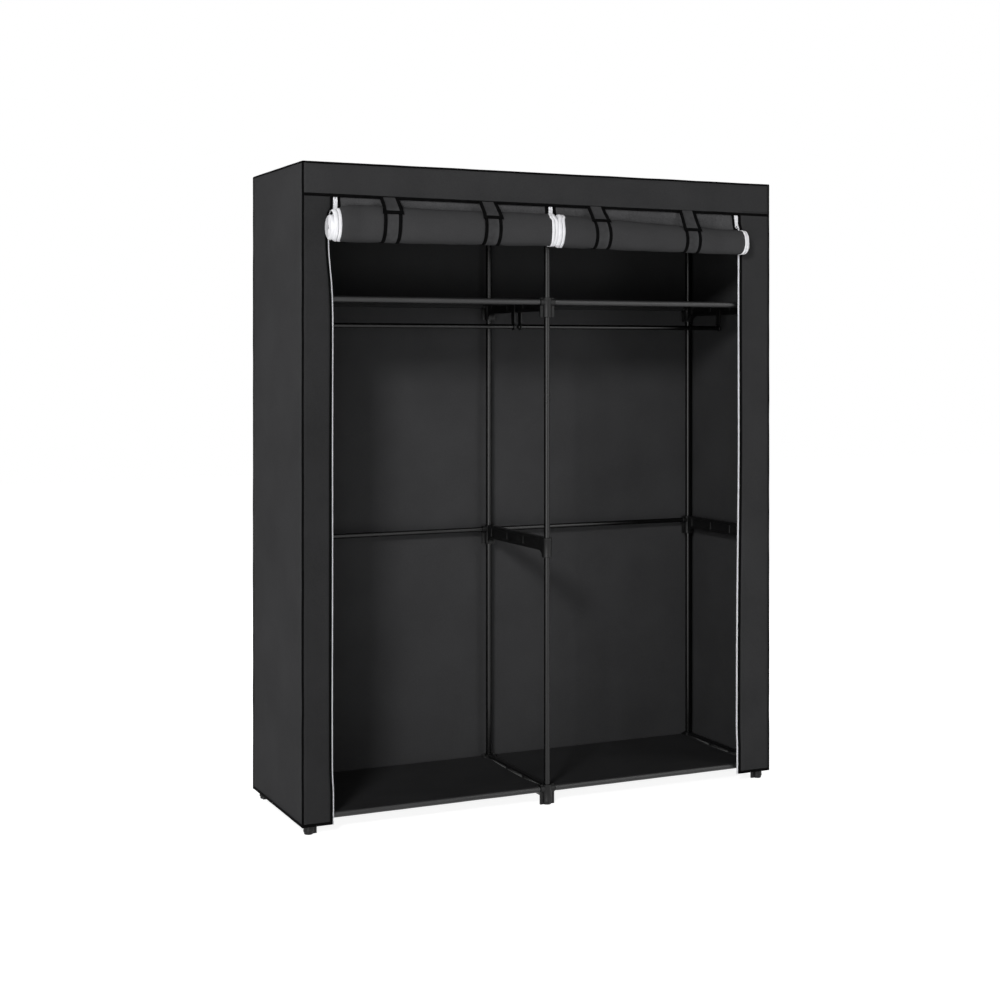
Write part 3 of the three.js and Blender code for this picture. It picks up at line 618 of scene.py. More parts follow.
def add_brackets():
    beam = beam_form()
    for level in ("bottom", "mid", "shelf", "top"):
        for column, x in POST_X.items():
            node = "top_frame" if level == "top" else level + "_bracket_" + column
            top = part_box(node)[1].z
            bottom = top - BARREL_HEIGHT
            forms = [moved(beam, (x, 0, top))]
            for row, y in POST_Y.items():
                forms.append(barrel_form(x, y, bottom, level == "bottom", level != "top"))
                if level == "mid" and row == "front":
                    continue
                for side in BOSS_SIDES[column]:
                    forms.append(boss_form(x, y, top - RAIL_BELOW_TOP, side))
            make_piece("bracket_" + level + "_" + column, merge(*forms), BRACKET,
                       [node], sharp=40)
    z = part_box("top_frame")[1].z - RAIL_BELOW_TOP
    for side, (near, far) in {"left": ("left", "middle"), "right": ("middle", "right")}.items():
        start, end = POST_X[near] + RAIL_INSET, POST_X[far] - RAIL_INSET
        for row, y in POST_Y.items():
            make_piece("top_rail_" + row + "_" + side,
                       tube_form((start, y, z), (end, y, z), RAIL_RADIUS),
                       TUBE, ["top_frame"])


def add_hangers():
    """A saddle over each shelf bracket's beam with eyes that hold the rods."""
    _, rod_y, rod_z = middle_of("hanging_rod_left")
    half = HANGER_STRIP / 2
    reach = HANGER_FACE + HANGER_PLATE
    for column, x in POST_X.items():
        node = "rod_hanger_" + column
        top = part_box(node)[1].z

        def plate(xs, low):
            return rounded_box((xs[0], rod_y - half, low), (xs[1], rod_y + half, top), 0.0008)

        forms = [plate((x - reach, x + reach), top - HANGER_SADDLE)]
        for side in (-1, 1):
            xs = (x + side * HANGER_FACE, x + side * reach)
            if side not in BOSS_SIDES[column]:
                forms.append(plate(xs, top - HANGER_SADDLE - HANGER_LIP))
                continue
            forms.append(plate(xs, rod_z + EYE_RADIUS * 0.86))
            hole, lip = RAIL_RADIUS + 0.0004, 0.0006
            profile = [(hole, lip), (hole + lip, 0), (EYE_RADIUS - lip, 0), (EYE_RADIUS, lip),
                       (EYE_RADIUS, HANGER_PLATE - lip), (EYE_RADIUS - lip, HANGER_PLATE),
                       (hole + lip, HANGER_PLATE), (hole, HANGER_PLATE - lip)]
            forms.append(lathe(profile, (min(xs), rod_y, rod_z), (1, 0, 0), ring=True))
        make_piece(node + "_moulding", merge(*forms), BRACKET, [node], sharp=40)


# Cloth shelves

def shelf_path(rail_z):
    """A shelf seen from the side: a sleeve round each rail, stitched under the deck. Each
    point is y, z and whether it takes the deck's sag."""
    front, back = POST_Y["front"], POST_Y["back"]
    sleeve = RAIL_RADIUS + 0.0010
    reach = 0.026
    top = rail_z + sleeve
    steps = 30

    def tongue(y, inward):
        return [(y + inward * (reach - i * 0.004), top - 0.0016 - 0.0012 * (i / 4) ** 2, True)
                for i in range(5)]

    def round_rail(y, first):
        angles = [math.radians(first - 290 * (i / 16)) for i in range(17)]
        return [(y + sleeve * math.cos(a), rail_z + sleeve * math.sin(a), False) for a in angles]

    deck = [(lerp(front, back, i / steps), top, True) for i in range(1, steps)]
    return (tongue(front, 1) + round_rail(front, 20) + deck
            + round_rail(back, 90) + tongue(back, -1)[::-1])


def deck_sag(x, y, along, seed):
    share = (y - POST_Y["front"]) / (POST_Y["back"] - POST_Y["front"])
    if not 0 < share < 1:
        return 0.0
    belly = SHELF_SAG * 4 * share * (1 - share)
    loose = 0.94 + 0.06 * math.sin(5.1 * along + seed)
    ripple = 0.0009 * swell(x, y, 0, 0.11, seed) * window(share, 0.15)
    return belly * loose + ripple


def deck_reach(y):
    """How far the deck runs on past its sleeves, up to the beams, between the bosses."""
    room = min(y - POST_Y["front"], POST_Y["back"] - y) - BARREL_RADIUS
    return (BOSS_REACH - BEAM_WIDTH / 2 + DECK_TUCK) * smooth_step(room / DECK_CURVE)


def add_shelf(side, level):
    node = ("lower" if level == "bottom" else "upper") + "_shelf_" + side
    low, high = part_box(node)
    rail_z = middle_of(level + "_rail_front_" + side).z
    seed = 2.0 + 3.1 * (side == "right") + 1.7 * (level == "shelf")
    path = shelf_path(rail_z)
    hem = [0, 0.0012, 0.007, 0.0078, 0.0086]
    xs = [low.x + d for d in hem]
    xs += [lerp(low.x + 0.02, high.x - 0.02, i / 26) for i in range(27)]
    xs += [high.x - d for d in reversed(hem)]
    rows = []
    for y, z, sags in path:
        row = []
        for x in xs:
            inset = min(x - low.x, high.x - x)
            fold = 0.0004 if inset < 0.0074 else (-0.0002 if inset < 0.008 else 0.0)
            slack = 0.0
            if sags:
                along = (x - low.x) / (high.x - low.x)
                fold -= deck_sag(x, y, along, seed)
                x += deck_reach(y) * (2 * along - 1) ** 5
            elif z < rail_z:
                slack = 0.0006 * swell(x, y, z, 0.06, seed + 4)
            row.append((x, y + slack, z + fold))
        rows.append(row)
    indices = []
    for (y, _, here), (_, _, there) in zip(path, path[1:]):
        indices += [int(y < 0 and not here and not there)] * (len(xs) - 1)
    piece = make_piece(node + "_cloth", strip_grid(rows), [SHELF, SLEEVE], [node],
                       closed=False, indices=indices, sharp=80)
    thicken(piece, SHOWN_CLOTH)
    length = sum(math.dist(a[:2], b[:2]) for a, b in zip(path, path[1:]))


# Cover panels, each waved a little between its seams

def cover_panel(name, point, normal, size, spacing, slack, seed, outside=COVER):
    """A panel through point(u, v); slack is how far the cloth bellies between its edges."""
    out = Vector(normal)

    def shaped(u, v):
        p = Vector(point(u, v))
        free = window(u, 0.1) * window(v, 0.05)
        return p + out * (slack * free * (swell(*p, 0.55, seed) + 0.35 * swell(*p, 0.16, seed + 7)))

    across, along = (max(4, round(s / spacing)) for s in size)
    rows = [[shaped(i / across, j / along) for i in range(across + 1)] for j in range(along + 1)]
    # The solidified back face takes the lighter cover cloth, which is painted light
    piece = make_piece(name, strip_grid(rows), [outside, COVER_PAINTED_LIGHT], ["cover"],
                       closed=False, sharp=80)
    thicken(piece, SHOWN_CLOTH, material_shift=1)


# The flaps' inner edges are straight up to a height. Above it the left one is drawn outwards
# with a bulge, and the right one goes from drawn inwards to drawn outwards
STRAIGHT_Z = 0.09
LEFT_DRAWN = 0.0023
LEFT_BULGE = 0.0113
LEFT_BULGE_Z = 1.5
LEFT_BULGE_REACH = 0.1
RIGHT_DRAWN = (-0.0025, 0.0048)
RIGHT_DRAWN_Z = (0.25, 1.0)


def flap_edge(side, z):
    """Where a flap's inner edge runs: straight by the slider and at the hem."""
    below_slider = SLIDER_TOP - SLIDER_LENGTH - z
    share = (z - STRAIGHT_Z) / (z - STRAIGHT_Z + below_slider)
    if not 0 < share < 1:
        return FLAP_X[side]
    if side == "left":
        drawn = LEFT_DRAWN + LEFT_BULGE * math.exp(-((z - LEFT_BULGE_Z) / LEFT_BULGE_REACH) ** 2)
    else:
        low, high = RIGHT_DRAWN_Z
        drawn = lerp(*RIGHT_DRAWN, smooth_step((z - low) / (high - low)))
    waver = 0.0005 * math.sin(5.2 * share + 0.6) + 0.0003 * math.sin(13 * share)
    held = smooth_step(below_slider / 0.016) * smooth_step(share / 0.05)
    return FLAP_X[side] - INWARD[side] * held * (drawn + waver)


def add_cover():
    """Big panels have a point every 20 mm and the front's narrow ones every 12 mm. The rows of the two
    sides run so that their lighter face, which is painted light, is the outer one."""
    mid = CLOTH / 2
    deep, tall, wide = BACK_Y - FRONT_Y, TOP_Z - HEM_Z, RIGHT_X - LEFT_X
    coarse, fine = 0.02, 0.012
    for side, x, ends, seed in (("left", LEFT_X + mid, (FRONT_Y, BACK_Y), 3.1),
                                ("right", RIGHT_X - mid, (BACK_Y, FRONT_Y), 9.4)):
        cover_panel("cover_side_" + side, lambda u, v: (x, lerp(*ends, u), lerp(HEM_Z, TOP_Z, v)),
                    (-INWARD[side], 0, 0), (deep, tall), coarse, 0.003, seed)
    cover_panel("cover_back",
                lambda u, v: (lerp(RIGHT_X, LEFT_X, u), BACK_Y - mid, lerp(HEM_Z, TOP_Z, v)),
                (0, 1, 0), (wide, tall), coarse, 0.003, 5.7)
    cover_panel("cover_top",
                lambda u, v: (lerp(LEFT_X, RIGHT_X, u), lerp(FRONT_Y, BACK_Y, v), TOP_Z - mid),
                (0, 0, 1), (wide, deep), coarse, 0.0010, 1.3)
    cover_panel("cover_valance",
                lambda u, v: (lerp(LEFT_X, RIGHT_X, u), FRONT_Y + mid,
                              lerp(VALANCE_Z - VALANCE_SAG * u, TOP_Z, v)),
                (0, -1, 0), (wide, TOP_Z - VALANCE_Z), fine, 0.0008, 8.8)
    for side, outer_x, width, seed in (("left", LEFT_X, LEFT_FLAP, 4.2),
                                       ("right", RIGHT_X, RIGHT_FLAP, 6.6)):
        def flap_point(u, v):
            z = lerp(HEM_Z, VALANCE_Z + VALANCE_BINDING, v)
            ends = (outer_x, flap_edge(side, z)) if side == "left" else (flap_edge(side, z), outer_x)
            return lerp(*ends, u), FRONT_Y + mid, z

        # Each flap's outer face takes its own painted-shade copy of the cover cloth
        cover_panel("cover_flap_" + side, flap_point, (0, -1, 0),
                    (width - PIPING_PROUD, VALANCE_Z + VALANCE_BINDING - HEM_Z), fine, 0.0012, seed,
                    FLAP[side])


# Piping and bindings

def cord_path(corners, spacing=0.02, closed=False, waver=0.0003, seed=0.0):
    """Points along straight runs between corners, wavering a hair as a sewn edge does."""
    path = []
    ends = corners[1:] + (corners[:1] if closed else [])
    for a, b in zip(corners, ends):
        a, b = Vector(a), Vector(b)
        steps = max(2, round((b - a).length / spacing))
        for i in range(steps):
            p = a.lerp(b, i / steps)
            shift = Vector([swell(*p, 0.07, seed + 3 * k) for k in range(3)])
            path.append(p + shift * waver * window(i / steps, 0.05))
    if not closed:
        path.append(Vector(corners[-1]))
    return path


def stitches(path, proud):
    """Short threads along a path, standing proud of it at the front."""
    normal = Vector((0, -1, 0))
    radius, length_share = 0.00022, 0.62
    lift = normal * radius
    forms = []
    for point, along in walk(path, STITCH_PITCH, STITCH_PITCH):
        middle = point + normal * proud
        half = along * STITCH_PITCH * length_share / 2
        side = along.cross(normal).normalized() * radius
        corners = []
        for reach, height in ((half, -lift), (half * 0.6, lift)):
            start, end = middle - reach + height, middle + reach + height
            corners += [start - side, end - side, end + side, start + side]
        forms.append((corners, BOX_FACES))
    return merge(*forms)


def add_binding(name, form, material=BINDING):
    make_piece(name, form, material, ["cover"])


def add_trim():
    pipe = 0.003
    sunk = pipe - PIPING_PROUD
    xs, ys = (LEFT_X + sunk, RIGHT_X - sunk), (FRONT_Y + sunk, BACK_Y - sunk)
    z = TOP_Z - sunk
    ring = [(xs[0], ys[0], z), (xs[1], ys[0], z), (xs[1], ys[1], z), (xs[0], ys[1], z)]
    add_binding("piping_top", sweep(cord_path(ring, closed=True), circle(pipe), closed=True))
    for index, (x, y, _) in enumerate(ring):
        path = cord_path([(x, y, HEM_Z), (x, y, z)], seed=index)
        name = "piping_" + ("front" if y < 0 else "back") + ("_left" if x < 0 else "_right")
        add_binding(name, sweep(path, circle(pipe), up=(0, 1, 0)))
    mid = CLOTH / 2
    left, right, front, back = LEFT_X + mid, RIGHT_X - mid, FRONT_Y + mid, BACK_Y - mid
    corners = [(FLAP_X["left"] - 0.001, front), (left, front), (left, back), (right, back),
               (right, front), (FLAP_X["right"] + 0.001, front)]
    hem = cord_path([(*corner, HEM_Z + HEM_BINDING / 2) for corner in corners], 0.015, waver=0.0002)
    add_binding("hem_binding", sweep(hem, flat_section(BINDING_THICKNESS, HEM_BINDING)))
    valance_z = VALANCE_Z + VALANCE_BINDING / 2
    valance = cord_path([(LEFT_X + 0.002, front, valance_z),
                         (RIGHT_X - 0.002, front, valance_z - VALANCE_SAG)], 0.015)
    add_binding("valance_binding", sweep(valance, flat_section(BINDING_THICKNESS, VALANCE_BINDING)))
    threads = [stitches([p + Vector((0, 0, 0.0026)) for p in valance], 0.00155)]
    for side in ("left", "right"):
        sign = INWARD[side]
        zs = [lerp(HEM_Z + 0.0005, VALANCE_Z + 0.001, i / 110) for i in range(111)]
        edge = [Vector((flap_edge(side, v) + sign * (0.0025 - FLAP_BINDING / 2), FRONT_Y + 0.0020, v))
                for v in zs]
        section = flat_section(FLAP_BINDING, 0.0052)
        add_binding("flap_binding_" + side, sweep(edge, section, up=(0, -1, 0)))
        threads.append(stitches([p + Vector((-sign * 0.0025, -0.0020, 0)) for p in edge], 0.00065))
    add_binding("binding_stitches", merge(*threads), THREAD)


# Zips

TOOTH_PITCH = 0.0026
# A tooth's body and its head: where each starts and ends across the row, half its depth and
# half its height
TOOTH_BLOCKS = [(-0.0030, 0.0018, 0.0016, 0.0008), (0.0010, 0.0022, 0.0008, 0.0009)]
PARTING_LENGTH = 0.014
PARTED_ASIDE = 0.0045
PARTED_FORWARD = 0.004


def parting(z):
    """0 down to the sliders' lower ends, rising to 1 below them, where the rows are parted."""
    return smooth_step((SLIDER_TOP - SLIDER_LENGTH - z) / PARTING_LENGTH)


def zip_half(name, row, inward, stands_for, tape_width):
    """A tape and its teeth along a row of points; inward is the side that the teeth bite."""
    tape_rows = [[(p.x - inward * tape_width, p.y, p.z), (p.x - inward * 0.0012, p.y, p.z),
                  (p.x, p.y - 0.0001, p.z)] for p in row]
    tape = make_piece(name + "_tape", strip_grid(tape_rows), BINDING, stands_for,
                      closed=False, sharp=80)
    thicken(tape, 0.0008)
    coil = [p - Vector((inward * 0.0010, 0, 0)) for p in row]
    teeth = [sweep(coil, circle(0.0018, 8), up=(0, 1, 0))]
    for p, _ in walk(row, TOOTH_PITCH, 0.0):
        for start, end, half_depth, half_height in TOOTH_BLOCKS:
            half = Vector((0, half_depth, half_height))
            teeth.append(box_form(p + Vector((inward * start, 0, 0)) - half,
                                  p + Vector((inward * end, 0, 0)) + half))
    make_piece(name + "_teeth", merge(*teeth), ZIP, stands_for, sharp=20)


def add_zips():
    top = TOP_Z - CLOTH - 0.006
    low = VALANCE_Z - DOOR_ZIP_DROP
    for side in ("left", "right"):
        sign = INWARD[side]
        zs = [lerp(HEM_Z, top, i / 160) for i in range(161)]
        row = []
        for z in zs:
            reach = lerp(TAPE_REACH, OPEN_TAPE_REACH, parting(z))
            row.append(Vector((flap_edge(side, z) + sign * reach, ZIP_Y, z)))
        zip_half("zip_" + side, row, sign, ["cover"], 0.008)
        for name, centre, inward in (("outer", SLIDER_X[side], -sign), ("centre", 0.0, sign)):
            row = []
            for i in range(41):
                z = lerp(low, top, i / 40)
                x = centre - inward * (ROW_SHIFT + PARTED_ASIDE * parting(z))
                row.append(Vector((x, ZIP_Y - PARTED_FORWARD * parting(z), z)))
            zip_half("door_zip_" + side + "_" + name, row, inward, ["rolled_door_" + side], 0.004)


# Rolled doors

ROLL_SETTLE = 0.016
TIP_LENGTH = 0.045
CROWN_HEIGHT = 0.0027
CROWN_X = -0.50
CROWN_REACH = 0.10
STRAP_X = {(side, reach): middle_of("strap_" + side + "_" + reach).x + STRAP_SHIFT
           for side in ("left", "right") for reach in ("outer", "inner")}


def near_strap(side, x, reach_share):
    """1 under a strap of that side, falling to 0 beside it."""
    return sum(math.exp(-((x - STRAP_X[side, reach]) / (reach_share * STRAP_WIDTH)) ** 4)
               for reach in ("outer", "inner"))


def settled(side, x):
    """How far a roll hangs back into the opening between the flap and the other roll."""
    share = min(1.0, abs(x / ZIP_X[side]))
    return ROLL_SETTLE * smooth_step((1 - share) / 0.12) * lerp(0.5, 1, smooth_step(share / 0.25))


def roll_at(side, x):
    """The oval of a roll at a place along it: depth, half height and its middle's y and z."""
    share = min(1.0, abs(x / ZIP_X[side]))
    half = lerp(*ROLLS[side]["half"], share) - STRAP_PINCH * near_strap(side, x, 0.75)
    half += 0.0007 * swell(x, 0, 0, 0.09, 5.0 if side == "left" else 8.0)
    depth = half * ROLL_DEPTH_SHARE
    y = FRONT_Y - ROLL_BEHIND - depth + settled(side, x)
    to_tip = abs(ZIP_X[side]) + ROLLS[side]["past"] - abs(x)
    nip = TIP_NIP[side] * smooth_step(1 - to_tip / TIP_LENGTH)
    crown = CROWN_HEIGHT * math.exp(-((x - CROWN_X) / CROWN_REACH) ** 2)
    z = VALANCE_Z - lerp(*ROLLS[side]["drop"], share) - 0.8 * nip + crown
    return depth, half - nip + crown, y, z


def touch_angle(point, oval, turn):
    """Where a line from a point touches an oval: 1 for the touch met going anticlockwise."""
    depth, half, y, z = oval
    u, v = (point[0] - y) / depth, (point[1] - z) / half
    return math.atan2(v, u) + turn * math.acos(1 / math.hypot(u, v))


def oval_point(oval, angle, inset):
    depth, half, y, z = oval
    return y + (depth - inset) * math.cos(angle), z + (half - inset) * math.sin(angle)


TURNS = 10
TURN_STEPS = 30
LEG_STEPS = 14
CORE_HALF_DEPTH = 0.0015
DOOR_THICKNESS = 0.0010
# The turns inside the outer one are loose: they slump and are squatter
TURN_LOOSE = 0.95
SLUMP = 0.0053
SQUAT = 0.0062
# How far the cloth above a roll bows forward, and how much that varies
RUFFLE = 0.0035
RUFFLE_SPREAD = 0.0030
# The white tape round a roll's edges has two ridges
TAPE_ZONE = 0.0190
TAPE_RIDGE = 0.0095
TAPE_GROOVE = 0.0018
TAPE_THICKNESS = 0.0023
TIP_NIP = {"left": 0.0068, "right": 0.0}
TIP_SHOULDER = {"left": 0.0, "right": 0.0034}
# By side and end, 0 the zip's and 1 the middle's: how wide the white tape shows above and
# below the roll's front, and on it, as a share of the whole
TAPE_SHARE = {("left", 1.0): (0.70, 1.0), ("right", 0.0): (1.0, 0.72)}
LEG_BINDING = 0.0100
LEG_GATHER = 0.160
# The core stands out at the zip's end; the two rolls close up in the middle, below a notch
CORE_SHARE = 0.25
CLOSED_SHARE = 0.1
CLOSED_GAP = 0.0012
CLOSED_BEHIND = 0.017
NOTCH_Z = 1.578


def stair(turn):
    """How far out a turn's edge stands, as a share: the outer turn lags behind the others."""
    return smooth_step((turn - TURN_LOOSE) / 0.3) * (1 + 0.05 * math.sin(7 * turn))


def tape_relief(d):
    """The tape's two rounded ridges, at a distance from the door's edge."""
    if d > TAPE_ZONE:
        return 0.0
    across = (d % TAPE_RIDGE) / TAPE_RIDGE * 2 - 1
    return 0.0022 * math.sqrt(max(0.0, 1 - across ** 2)) - 0.0025


def door_section(side, x, ruffle, slump):
    """The door at a place along it: down behind the valance, then round and round. The inner
    turns slump inside the outer one, by the full measure where slump is 1."""
    oval = roll_at(side, x)
    back = ZIP_Y + 0.0003
    bend = (back, BEND_Z)
    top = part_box("rolled_door_" + side)[1].z
    start = touch_angle(bend, oval, -1)
    touch = oval_point(oval, start, 0)
    hidden = 5
    points = [(back, lerp(top, bend[1], i / hidden), 0.0) for i in range(hidden)]
    for i in range(LEG_STEPS):
        w = i / LEG_STEPS
        y, z = lerp(bend[0], touch[0], w), lerp(bend[1], touch[1], w)
        fold = ruffle + RUFFLE_SPREAD * swell(x, 0, 7 * z + 0.7 * x, 0.085, 2.6)
        points.append((y - fold * math.sin(math.pi * w), z, 0.0))
    pitch = (oval[0] - CORE_HALF_DEPTH) / TURNS
    for i in range(TURNS * TURN_STEPS + 1):
        turn = i / TURN_STEPS
        fallen = slump * smooth_step((turn - TURN_LOOSE) / 0.35)
        squat = (oval[0], oval[1] - SQUAT * fallen, oval[2], oval[3] - SLUMP * fallen)
        y, z = oval_point(squat, start - 2 * math.pi * turn, pitch * turn)
        points.append((y, z, turn))
    return oval, points


def add_door(side):
    """A door's cloth; its outside shows above the roll, its inside with the zips' white
    tapes round it. Above the roll its edge is drawn in beside the slider."""
    sign = -INWARD[side]
    outer_end = ZIP_X[side] + sign * ROLLS[side]["past"]
    leg_edge = SLIDER_X[side] - sign * DOOR_EDGE_GAP
    ridge = [0.0030, 0.00475, 0.0065, TAPE_RIDGE - TAPE_GROOVE]
    near = [0, 0.0005, 0.0015] + ridge + [TAPE_RIDGE + d for d in [0, TAPE_GROOVE] + ridge]
    near += [TAPE_ZONE, TAPE_ZONE + 0.0003, TAPE_ZONE + 0.0022, 0.026]
    middle = 40
    places = [(0.0, d) for d in near]
    places += [(i / middle, 0.0) for i in range(3, middle - 2)]
    places += [(1.0, d) for d in reversed(near)]
    rows = []
    for weight, d in places:
        x_rest = lerp(outer_end, sign * ROLL_CENTRE_GAP, weight)
        x_rest += {0.0: -sign * d, 1.0: sign * d}.get(weight, 0.0)
        ruffle = RUFFLE + RUFFLE_SPREAD * swell(x_rest, 1, 0, 0.05, 3.0)
        ruffle *= 1 - 0.8 * near_strap(side, x_rest, 0.8)
        drawn_in = abs(outer_end - leg_edge) * max(0.0, 1 - abs(outer_end - x_rest) / LEG_GATHER)
        near_centre = max(0.0, 1 - (1 - weight) / CLOSED_SHARE) ** 2
        near_zip = max(0.0, 1 - weight / CORE_SHARE) ** 2
        oval, points = door_section(side, x_rest, ruffle, near_zip)
        row = []
        for y, z, turn in points:
            on_leg = 1 - smooth_step(turn / 0.3)
            x = x_rest - sign * drawn_in * on_leg
            x += sign * ROLLS[side]["core"] * near_zip * stair(turn)
            closed = near_centre * (1 - on_leg) * smooth_step((NOTCH_Z - z) / 0.006)
            closed *= smooth_step((FRONT_Y - CLOSED_BEHIND - y) / 0.008)
            x -= sign * (ROLL_CENTRE_GAP - CLOSED_GAP) * closed
            relief = tape_relief(d) if weight in (0.0, 1.0) and turn > 0.1 else 0.0
            if weight == 0.0:
                relief -= TIP_SHOULDER[side] * max(0.0, 1 - d / TAPE_RIDGE) ** 2 * (1 - on_leg)
            in_front = min(1.0, max(0.0, (oval[2] - y) / oval[0])) * (1 - on_leg)
            kept = lerp(*TAPE_SHARE.get((side, weight), (1, 1)), in_front)
            x += sign * d * (2 * weight - 1) * (kept - 1) * (1 - on_leg)
            u, v = y - oval[2], z - oval[3]
            length = math.hypot(u, v) or 1.0
            crease = 0.0005 * swell(x, 3 * math.atan2(v, u), 0, 0.035, 2.0) if turn else 0.0
            grow = (relief + crease) / length
            row.append((x, y + u * grow, z + v * grow))
        rows.append(row)
    vertices, faces = strip_grid(rows)
    if side == "right":
        faces = [tuple(reversed(f)) for f in faces]
    legs = sum(turn == 0 for _, _, turn in points)
    indices = []
    for (weight, d), (next_weight, next_d) in zip(places, places[1:]):
        at_end = weight == next_weight and weight in (0.0, 1.0)
        # Faces along the groove between the tape's two ridges take the painted groove shade
        from_groove = (d + next_d) / 2 % TAPE_RIDGE
        in_shaded_groove = min(from_groove, TAPE_RIDGE - from_groove) < TAPE_GROOVE < min(d, next_d)
        for i in range(len(points) - 1):
            zone = LEG_BINDING if i < legs else TAPE_ZONE
            indices.append(1 + in_shaded_groove if at_end and max(d, next_d) <= zone else 0)
    # The door's front faces take the painted-light copy of the door cloth
    piece = make_piece("door_" + side, (vertices, faces),
                       [DOOR_PAINTED_LIGHT, BINDING, BINDING, DOOR, WHITE_TAPE, TAPE_GROOVE_SHADE],
                       ["rolled_door_" + side], closed=False, indices=indices, sharp=75)
    taped = piece.vertex_groups.new(name="taped")
    in_zone = [weight in (0.0, 1.0) and d <= TAPE_ZONE for weight, d in places]
    taped.add([j * len(points) + i for j, inside in enumerate(in_zone) if inside
               for i in range(legs, len(points))], 1.0, "REPLACE")
    cloth = thicken(piece, TAPE_THICKNESS, -1.0, material_shift=3, rim_shift=4)
    cloth.vertex_group = taped.name
    cloth.thickness_vertex_group = DOOR_THICKNESS / TAPE_THICKNESS


# Straps

# How wide a strap's bound edges are, and the length over which it leans aside
BAND = 0.0095
STRAP_FRONT = 0.100


def strap_path(side, x):
    """From the valance down in front of the roll, round below it and up behind the door."""
    depth, half, y, z = roll_at(side, x)
    grow = 0.0014
    oval = (depth + grow, half + grow, y, z)
    front = (FRONT_Y + 0.0012, VALANCE_Z + 0.002)
    back = (ZIP_Y + 0.0022, BEND_Z)
    first = touch_angle(front, oval, 1)
    last = touch_angle(back, oval, -1) + 2 * math.pi
    touch = oval_point(oval, first, 0)
    path = [(lerp(front[0], touch[0], i / 6), lerp(front[1], touch[1], i / 6)) for i in range(6)]
    path += [oval_point(oval, lerp(first, last, i / 40), 0) for i in range(41)]
    path += [back, (back[0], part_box("strap_" + side + "_outer")[1].z)]
    return path


def ribbon(name, path, x, width, stands_for, lean, end_band=0.0, flare=0.0, lift=0.0):
    """A ribbon along a path in y and z with bound edges; end_band binds its far end too."""
    half = width / 2
    offsets = [-half, -half + 0.0006, -half + BAND - 0.0006, -half + BAND]
    offsets += [lerp(-half + BAND, half - BAND, i / 4) for i in (1, 2, 3)]
    offsets += [-o for o in reversed(offsets[:4])]
    travelled = [0.0, *accumulate(map(math.dist, path, path[1:]))]
    rows, ends = [], []
    for i, (y, z) in enumerate(path):
        before, after = path[max(0, i - 1)], path[min(len(path) - 1, i + 1)]
        along = Vector((after[0] - before[0], after[1] - before[1])).normalized()
        ends.append(travelled[-1] - travelled[i] < end_band)
        spread = 1 + flare * (travelled[i] / travelled[-1]) ** 2
        aside = lerp(*lean, smooth_step(travelled[i] / STRAP_FRONT))
        row = []
        for o in offsets:
            bound = abs(o) > half - BAND + 0.0003 or ends[i]
            lifted = lift + (0.0004 if bound else 0.0) + 0.00025 * swell(x + o, y, z, 0.02, 1.0)
            row.append((x + aside + o * spread, y + along.y * lifted, z - along.x * lifted))
        rows.append(row)
    indices = [int(not 3 <= i < len(offsets) - 4 or (ends[j] and ends[j + 1]))
               for j in range(len(rows) - 1) for i in range(len(offsets) - 1)]
    piece = make_piece(name, strip_grid(rows), [STRAP, BINDING], stands_for,
                       closed=False, indices=indices, sharp=75)
    thicken(piece, 0.0012)
    return piece, travelled[-1]


def add_straps():
    for (side, reach), x in STRAP_X.items():
        node = "strap_" + side + "_" + reach
        path = strap_path(side, x)
        lean = STRAP_LEAN[side, reach]
        band, length = ribbon(node + "_band", path, x, STRAP_WIDTH, [node], lean)
        fine = [(lerp(a[0], b[0], i / 4), lerp(a[1], b[1], i / 4))
                for a, b in zip(path, path[1:]) for i in range(4)]
        lengths = [0.0, *accumulate(map(math.dist, fine, fine[1:]))]
        outside = [p for p, length in zip(fine, lengths) if length <= STRAP_TAB[side, reach]]
        tab, length = ribbon(node + "_tab", outside, x, STRAP_WIDTH + 0.002, [node], lean,
                             end_band=BAND, flare=0.12, lift=0.0024)


# Sliders and pulls keep their solids

def finish_sliders():
    for name in ("left", "centre", "right"):
        for node in ("zip_slider_" + name, "zip_pull_" + name):
            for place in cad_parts[node].material_slots:
                place.material = ZIP


add_tubes()
add_brackets()
add_hangers()
for shelf_side in ("left", "right"):
    for shelf_level in ("bottom", "shelf"):
        add_shelf(shelf_side, shelf_level)
add_cover()
add_trim()
add_zips()
add_door("left")
add_door("right")
add_straps()
finish_sliders()


# Camera, lamps, world and floor

WHITE = (1, 1, 1, 1)


def add_camera():
    data = bpy.data.cameras.new("camera")
    data.sensor_width = 36
    data.lens = 60.26
    data.shift_y = -0.1445
    data.clip_end = 60
    camera = new_object("camera", data)
    camera.location = (-2.024, FRONT_Y - 4.018, 1.210)
    camera.rotation_euler = (math.radians(90), 0, math.radians(-24.99))
    bpy.context.scene.camera = camera


def area_light(name, azimuth, elevation, distance, size, power, aim=(0, 0, 0.85)):
    """A soft square lamp in front for azimuth 0, on the left for negative azimuths."""
    a, e = math.radians(azimuth), math.radians(elevation)
    away = Vector((math.sin(a) * math.cos(e), -math.cos(a) * math.cos(e), math.sin(e)))
    data = bpy.data.lights.new(name, "AREA")
    data.shape = "SQUARE"
    data.size = size
    data.energy = power
    lamp = new_object(name, data)
    lamp.location = Vector(aim) + away * distance
    lamp.rotation_euler = (-away).to_track_quat("-Z", "Y").to_euler()


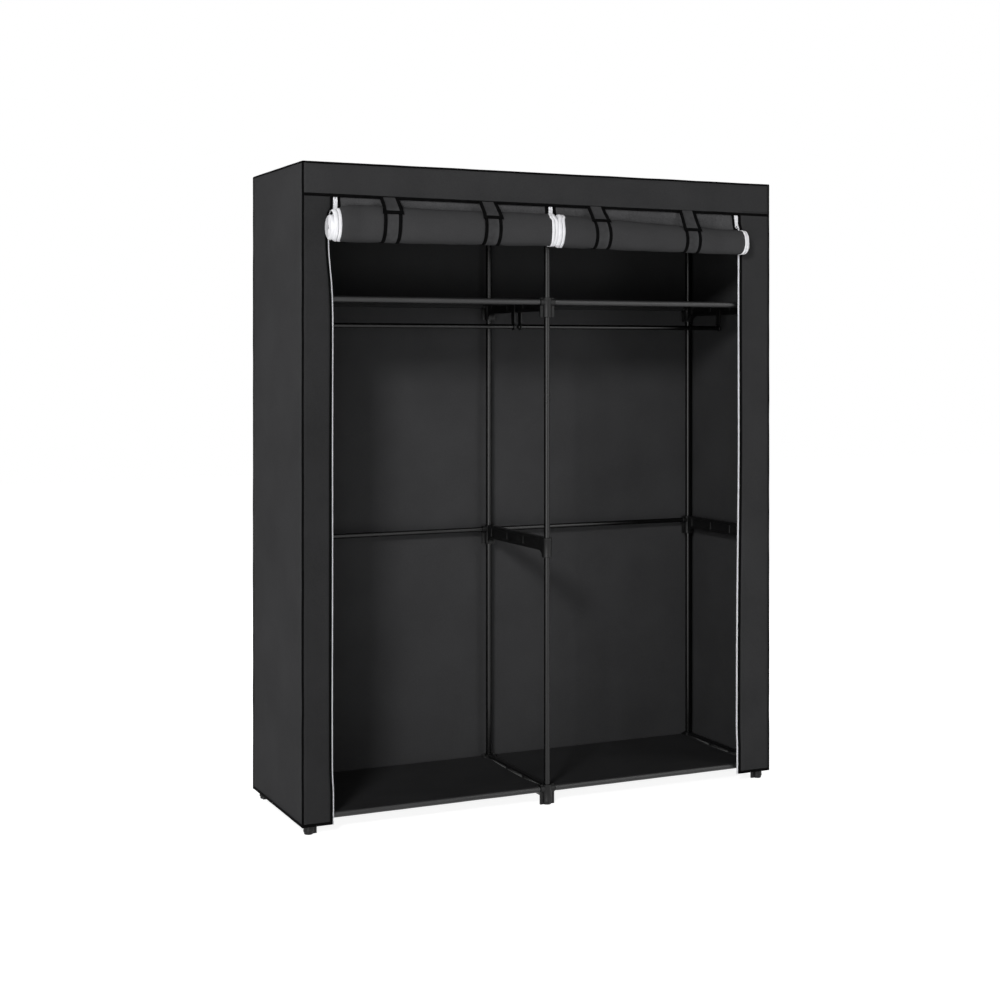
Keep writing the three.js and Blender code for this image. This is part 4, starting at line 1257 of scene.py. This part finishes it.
def mix_seen(tree, output, lighting, seen):
    """One shader lights the object; the other is seen by rays from the camera and by those
    that glossy or clear surfaces send on."""
    path = add_node(tree, "LightPath").outputs
    share = path["Is Camera Ray"]
    for other in ("Is Glossy Ray", "Is Transmission Ray"):
        share = math_node(tree, "MAXIMUM", share, path[other])
    mix = add_node(tree, "MixShader", {0: share, 1: lighting.outputs[0], 2: seen.outputs[0]})
    set_inputs(tree, tree.nodes[output], {"Surface": mix.outputs[0]})


def add_world(strength):
    world = bpy.data.worlds.new("studio")
    bpy.context.scene.world = world
    world.use_nodes = True
    tree = world.node_tree
    background = tree.nodes["Background"]
    set_inputs(tree, background, {"Color": WHITE, "Strength": strength})
    mix_seen(tree, "World Output", background, add_node(tree, "Background", {"Color": WHITE}))


def add_floor():
    """Pale paper that looks white to the camera, less the object's shadow."""
    reach = 12.0
    corners = [(-reach, -reach, 0), (reach, -reach, 0), (reach, reach, 0), (-reach, reach, 0)]
    mesh = new_mesh("floor", (corners, [(0, 1, 2, 3)]), closed=False)
    material, tree, where = new_material("floor_paper")
    paper = tree.nodes["Principled BSDF"]
    set_inputs(tree, paper, {"Base Color": (0.86, 0.86, 0.86, 1), "Roughness": 0.9})
    far = add_node(tree, "VectorMath", {0: where}, operation="LENGTH").outputs["Value"]
    white = add_node(tree, "Emission", {"Strength": range_node(tree, far, 0.90, 1.0, 1.2, 3.0)})
    shadowed = add_node(tree, "BsdfDiffuse", {"Color": (0.42, 0.42, 0.42, 1)})
    both = add_node(tree, "AddShader", {0: shadowed.outputs[0], 1: white.outputs[0]})
    mix_seen(tree, "Material Output", paper, both)
    mesh.materials.append(material)
    new_object("floor", mesh)


add_camera()
add_world(0.01)
add_floor()
area_light("key", -40, 20, 6.0, 0.9, 162, aim=(0, 0, 1.2))
area_light("low_key", -36, -9, 4.5, 2.2, 50, aim=(0, 0, 1.3))
area_light("side_fill", -100, 35, 3.5, 1.6, 31, aim=(-0.7, 0, 1.5))
area_light("front_fill", 30, 0, 4.0, 1.2, 14, aim=(0, 0, 1.1))
area_light("right_fill", 30, 25, 2.5, 0.8, 8, aim=(0.75, -0.2, 1.5))
area_light("back_fill", 172, 25, 4.0, 1.2, 75)
area_light("right_side_fill", 100, 25, 4.0, 1.2, 75)
bpy.context.scene.view_settings.view_transform = "Standard"
